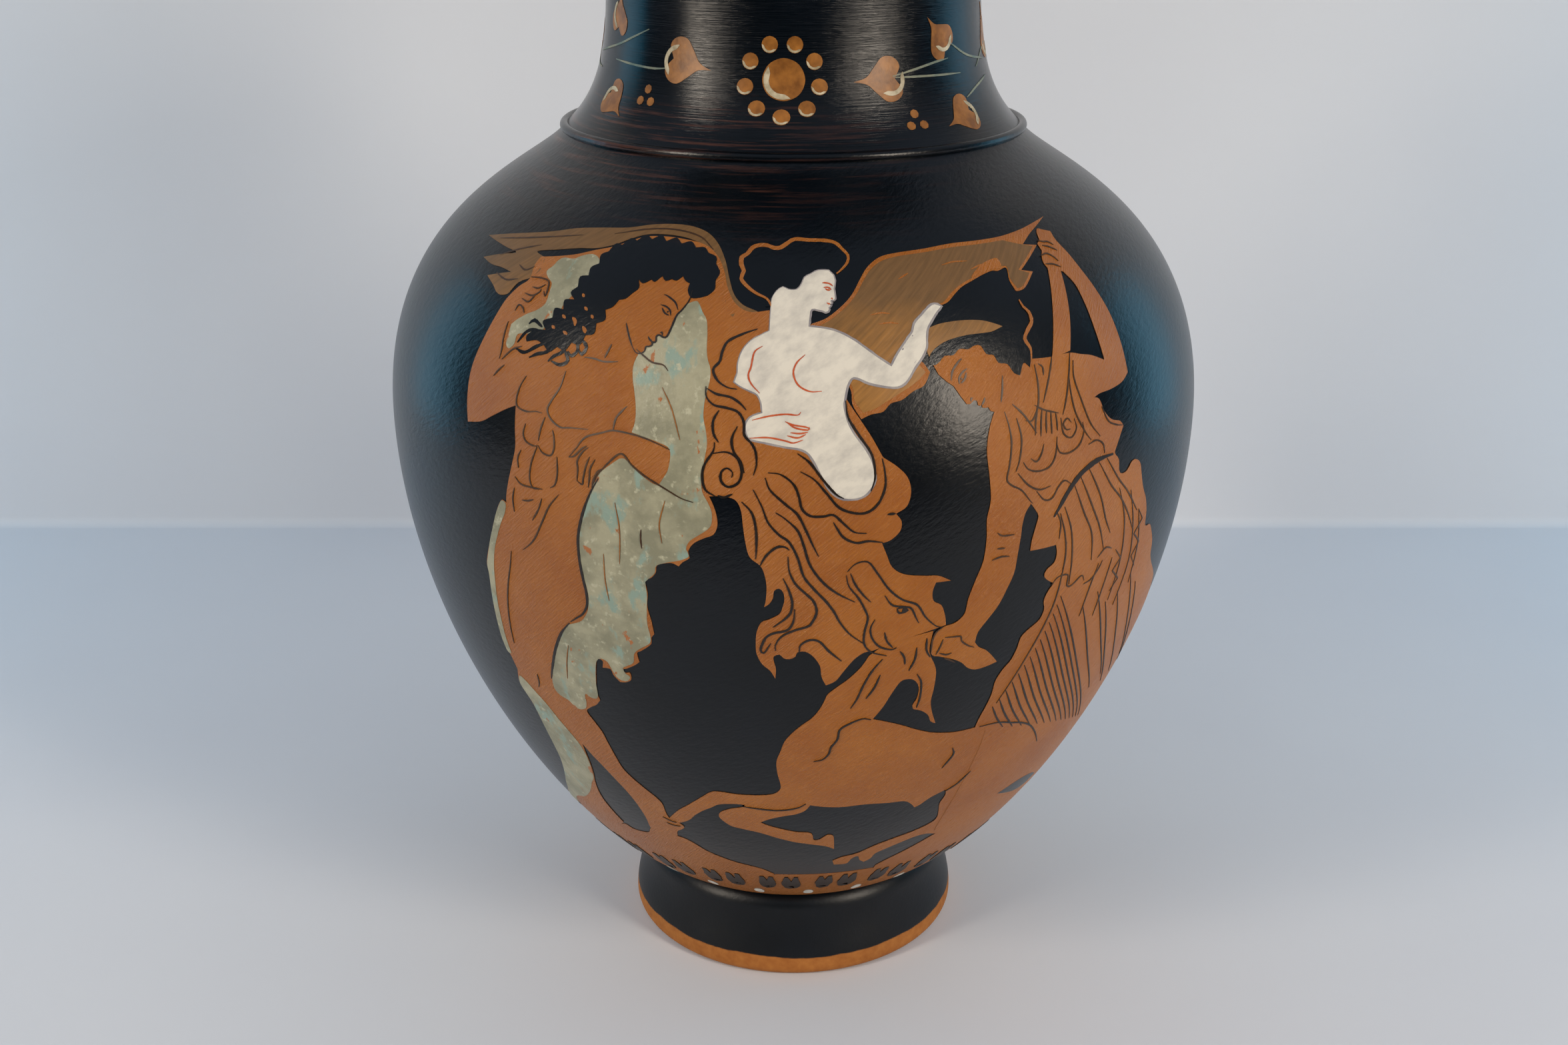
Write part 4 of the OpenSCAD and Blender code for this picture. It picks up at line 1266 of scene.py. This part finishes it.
def paint_deer():
    """The deer that springs from the drapery into the woman's hand."""
    paint("deer", BELLY, ORANGE, DEER_COAT, [DEER])
    paint("deer_lines", BELLY, DARK_LINE, LINE, strokes=DEER_LINES, width=0.5)
    paint("deer_eye", BELLY, DARK_LINE, TOP_LINE, [disc(27.8, 149.1, 0.7)])


def dress_pleats():
    """The long skirt's pleats, which run down and away from its left edge."""
    pleats = []
    for share in np.linspace(0, 1, 14):
        u = 59.5 + 15 * share + 2 * math.sin(3 * share)
        v = 112 + 32 * share
        length = 9 + 44 * share
        middle = (u + 0.34 * length, v - 0.55 * length)
        pleats.append([(u, v), middle, (u + 0.78 * length, v - 1.08 * length)])
    for k in range(6):
        u = 85 + 5.5 * k
        v = 138 + 3 * math.sin(2 * k)
        pleats.append([(u, v), (u + 11, v - 20), (u + 24, v - 37)])
    return pleats


def paint_woman():
    """The woman on the right, in a pleated dress, who holds the deer by its muzzle."""
    profile, jaw, features = head_lines(WOMAN_HEAD)
    head = [(*p, 1) for p in profile] + WOMAN_HEAD_BACK
    drawn = WOMAN_LINES + [jaw[:3], *features]
    paint("woman_body", BELLY, ORANGE, FRONT_BODY, [WOMAN_BODY, QUIVER_STRAP])
    paint("woman_head", BELLY, ORANGE, OVER, [head])
    paint("hill_gap", BELLY, BLACK, OVER, [HILL_GAP])
    paint("woman_hair", BELLY, BLACK, HAIR, [WOMAN_HAIR])
    paint("woman_ringlet", BELLY, ORANGE, HAIR, strokes=WOMAN_RINGLET, width=1)
    paint("woman_lines", BELLY, THIN_LINE, LINE, strokes=drawn, width=0.45)
    paint("dress_pleats", BELLY, DARK_LINE, LINE, strokes=dress_pleats(), width=0.5)
    paint("belt", BELLY, DARK_LINE, TOP_LINE, strokes=BELT, width=1.4)


def paint_neck():
    """A dotted rosette and a garland of ivy that runs right round the neck."""
    petals = round_points(-2.8, GARLAND_V, 9.3, 70, 390, 9)
    eye = (-2.4, 21.2)
    dabs = [disc(*eye, 5.3)] + [disc(u, v, 2.1) for u, v in petals]
    lights = [crescent(*eye, 5.0, 215)] + [crescent(u, v, 2.0, 250) for u, v in petals]
    leaves, vines = [], []
    for u, v, size, turn, light in IVY:
        leaves.append(ivy_leaf(u, v, size, turn))
        lights.append(crescent(u - 0.3 * size * math.cos(math.radians(turn)), v, size * 0.55, light))
    for u, v in DOT_TRIOS:
        leaves += [disc(*place, 1.2) for place in round_points(u, v, 2.1, 90, 330, 3)]
    front = 100
    spacing = (360 * NECK.mm_per_degree - front) / (BACK_LEAVES + 1)
    for k in range(1, BACK_LEAVES + 1):
        u = 45 + k * spacing
        side = 1 if k % 2 else -1
        leaves.append(ivy_leaf(u, GARLAND_V + 8 * side, 8.5, 90 * side + 20))
        lights.append(crescent(u, GARLAND_V + 6 * side, 4.5, -90 * side))
        wave = [(-14, 0), (-6, 4 * side), (0, 5 * side), (8, 0), (16, -1)]
        vines.append([(u + x, GARLAND_V + y) for x, y in wave])
    paint("rosette_and_ivy", NECK, OCHRE, UNDER, dabs + leaves)
    paint("ivy_lights", NECK, CREAM, OVER, lights)
    paint("tendrils", NECK, TENDRIL, UNDER, strokes=TENDRILS + vines, width=0.55)


def paint_back():
    """A palmette between two scrolls on the back."""
    back = 180 * BELLY.mm_per_degree
    fan, tail = 150, 112
    shapes = [petal(back, fan, 15, 58, 13, turn) for turn in range(-35, 216, 25)]
    shapes += [petal(back, tail, 8, 30, 9, turn) for turn in range(210, 331, 20)]
    shapes += [disc(back, fan, 9), disc(back, tail, 5)]
    lines = []
    for side in (-1, 1):
        middle = back + side * 74
        lines.append(scroll(middle, 170, 22, 2.2, 90 - 90 * side, side))
        lines.append([(back + side * x, v) for x, v in ((52, 170), (44, 130), (30, 92), (0, 88))])
        shapes += [petal(middle + side * 8, 128, 4, 36, 10, -90 + side * turn) for turn in (-30, 0, 30)]
    paint("back_palmette", BELLY, ORANGE, GROUND, shapes)
    paint("back_scrolls", BELLY, ORANGE, UNDER, strokes=lines, width=3)


paint_ground()
paint_winged_figure()
paint_youth()
paint_deer()
paint_woman()
paint_neck()
paint_back()

# ---------------------------------------------------------------- stage, lights and camera

TABLE_FRONT, WALL_BACK = -500, 330       # mm in y
WALL_TOP, TABLE_HALF = 900, 1500         # mm
BEND = 5                                 # mm radius between table and wall


def stage_sweep():
    """A pale table that curves up into a pale wall."""
    bm = bmesh.new()
    path = [(TABLE_FRONT, 0), *arc((WALL_BACK - BEND, BEND), BEND, -90, 0, 12), (WALL_BACK, WALL_TOP)]
    edge = [bm.verts.new((-TABLE_HALF * MM, y * MM, z * MM)) for y, z in path]
    edges = [bm.edges.new(pair) for pair in zip(edge, edge[1:])]
    made = bmesh.ops.extrude_edge_only(bm, edges=edges)
    for item in made["geom"]:
        if isinstance(item, bmesh.types.BMVert):
            item.co.x = TABLE_HALF * MM
    bmesh.ops.recalc_face_normals(bm, faces=bm.faces)
    mesh = bpy.data.meshes.new("table_sweep")
    bm.to_mesh(mesh)
    bm.free()
    mesh.shade_smooth()
    mesh.materials.append(studio_card())
    sweep = bpy.data.objects.new("table_sweep", mesh)
    bpy.context.collection.objects.link(sweep)


WINDOW_WHITE, PANEL_BLUE = "fff1df", "107a9a"
LIGHTS_FACE = Vector((0, 0, 0.2))        # m, a point in the belly


def soft_box(name, place, size, power, colour):
    """A rectangular soft light that faces the pot."""
    lamp = bpy.data.lights.new(name, "AREA")
    lamp.shape = "RECTANGLE"
    lamp.size, lamp.size_y = size
    lamp.energy = power
    lamp.color = linear(colour)[:3]
    light = bpy.data.objects.new(name, lamp)
    light.location = place
    light.rotation_euler = (LIGHTS_FACE - light.location).to_track_quat("-Z", "Y").to_euler()
    bpy.context.collection.objects.link(light)


def dim_room():
    """A room that is dark at the height of the pot and bright overhead."""
    world = bpy.data.worlds.new("room")
    world.use_nodes = True
    tree = world.node_tree
    look = add(tree, "ShaderNodeTexCoord").outputs["Generated"]
    height = add(tree, "ShaderNodeSeparateXYZ", {0: look}).outputs["Z"]
    shade = tone(tree, height, 0.15, 0.6, linear("101214"), linear("b4bfd0"))
    background = tree.nodes["Background"]
    tree.links.new(shade, background.inputs["Color"])
    background.inputs["Strength"].default_value = 0.67
    bpy.context.scene.world = world


CAMERA_PLACE = (0, -0.5, 0.3258)         # m
CAMERA_DOWN = 21.34                      # degrees below the horizon


def place_camera():
    """The camera in front of the pot, looking down a little."""
    view = bpy.data.cameras.new("camera")
    view.sensor_width = 36
    view.lens = 39.8
    view.shift_x = -0.006
    view.clip_start = 0.01
    camera = bpy.data.objects.new("camera", view)
    camera.location = CAMERA_PLACE
    camera.rotation_euler = (math.radians(90 - CAMERA_DOWN), 0, 0)
    bpy.context.collection.objects.link(camera)
    bpy.context.scene.camera = camera
    bpy.context.scene.view_settings.view_transform = "Standard"


stage_sweep()
soft_box("window_left", (-0.97, -0.68, 0.56), (0.2, 0.6), 7.8, WINDOW_WHITE)
soft_box("window_right", (0.84, -0.78, 0.56), (0.22, 0.6), 8.8, WINDOW_WHITE)
soft_box("blue_panel_left", (-0.64, 0.2, 0.26), (0.24, 0.42), 1.1, PANEL_BLUE)
soft_box("blue_panel_right", (0.62, 0.22, 0.24), (0.24, 0.4), 1.2, PANEL_BLUE)
dim_room()
place_camera()
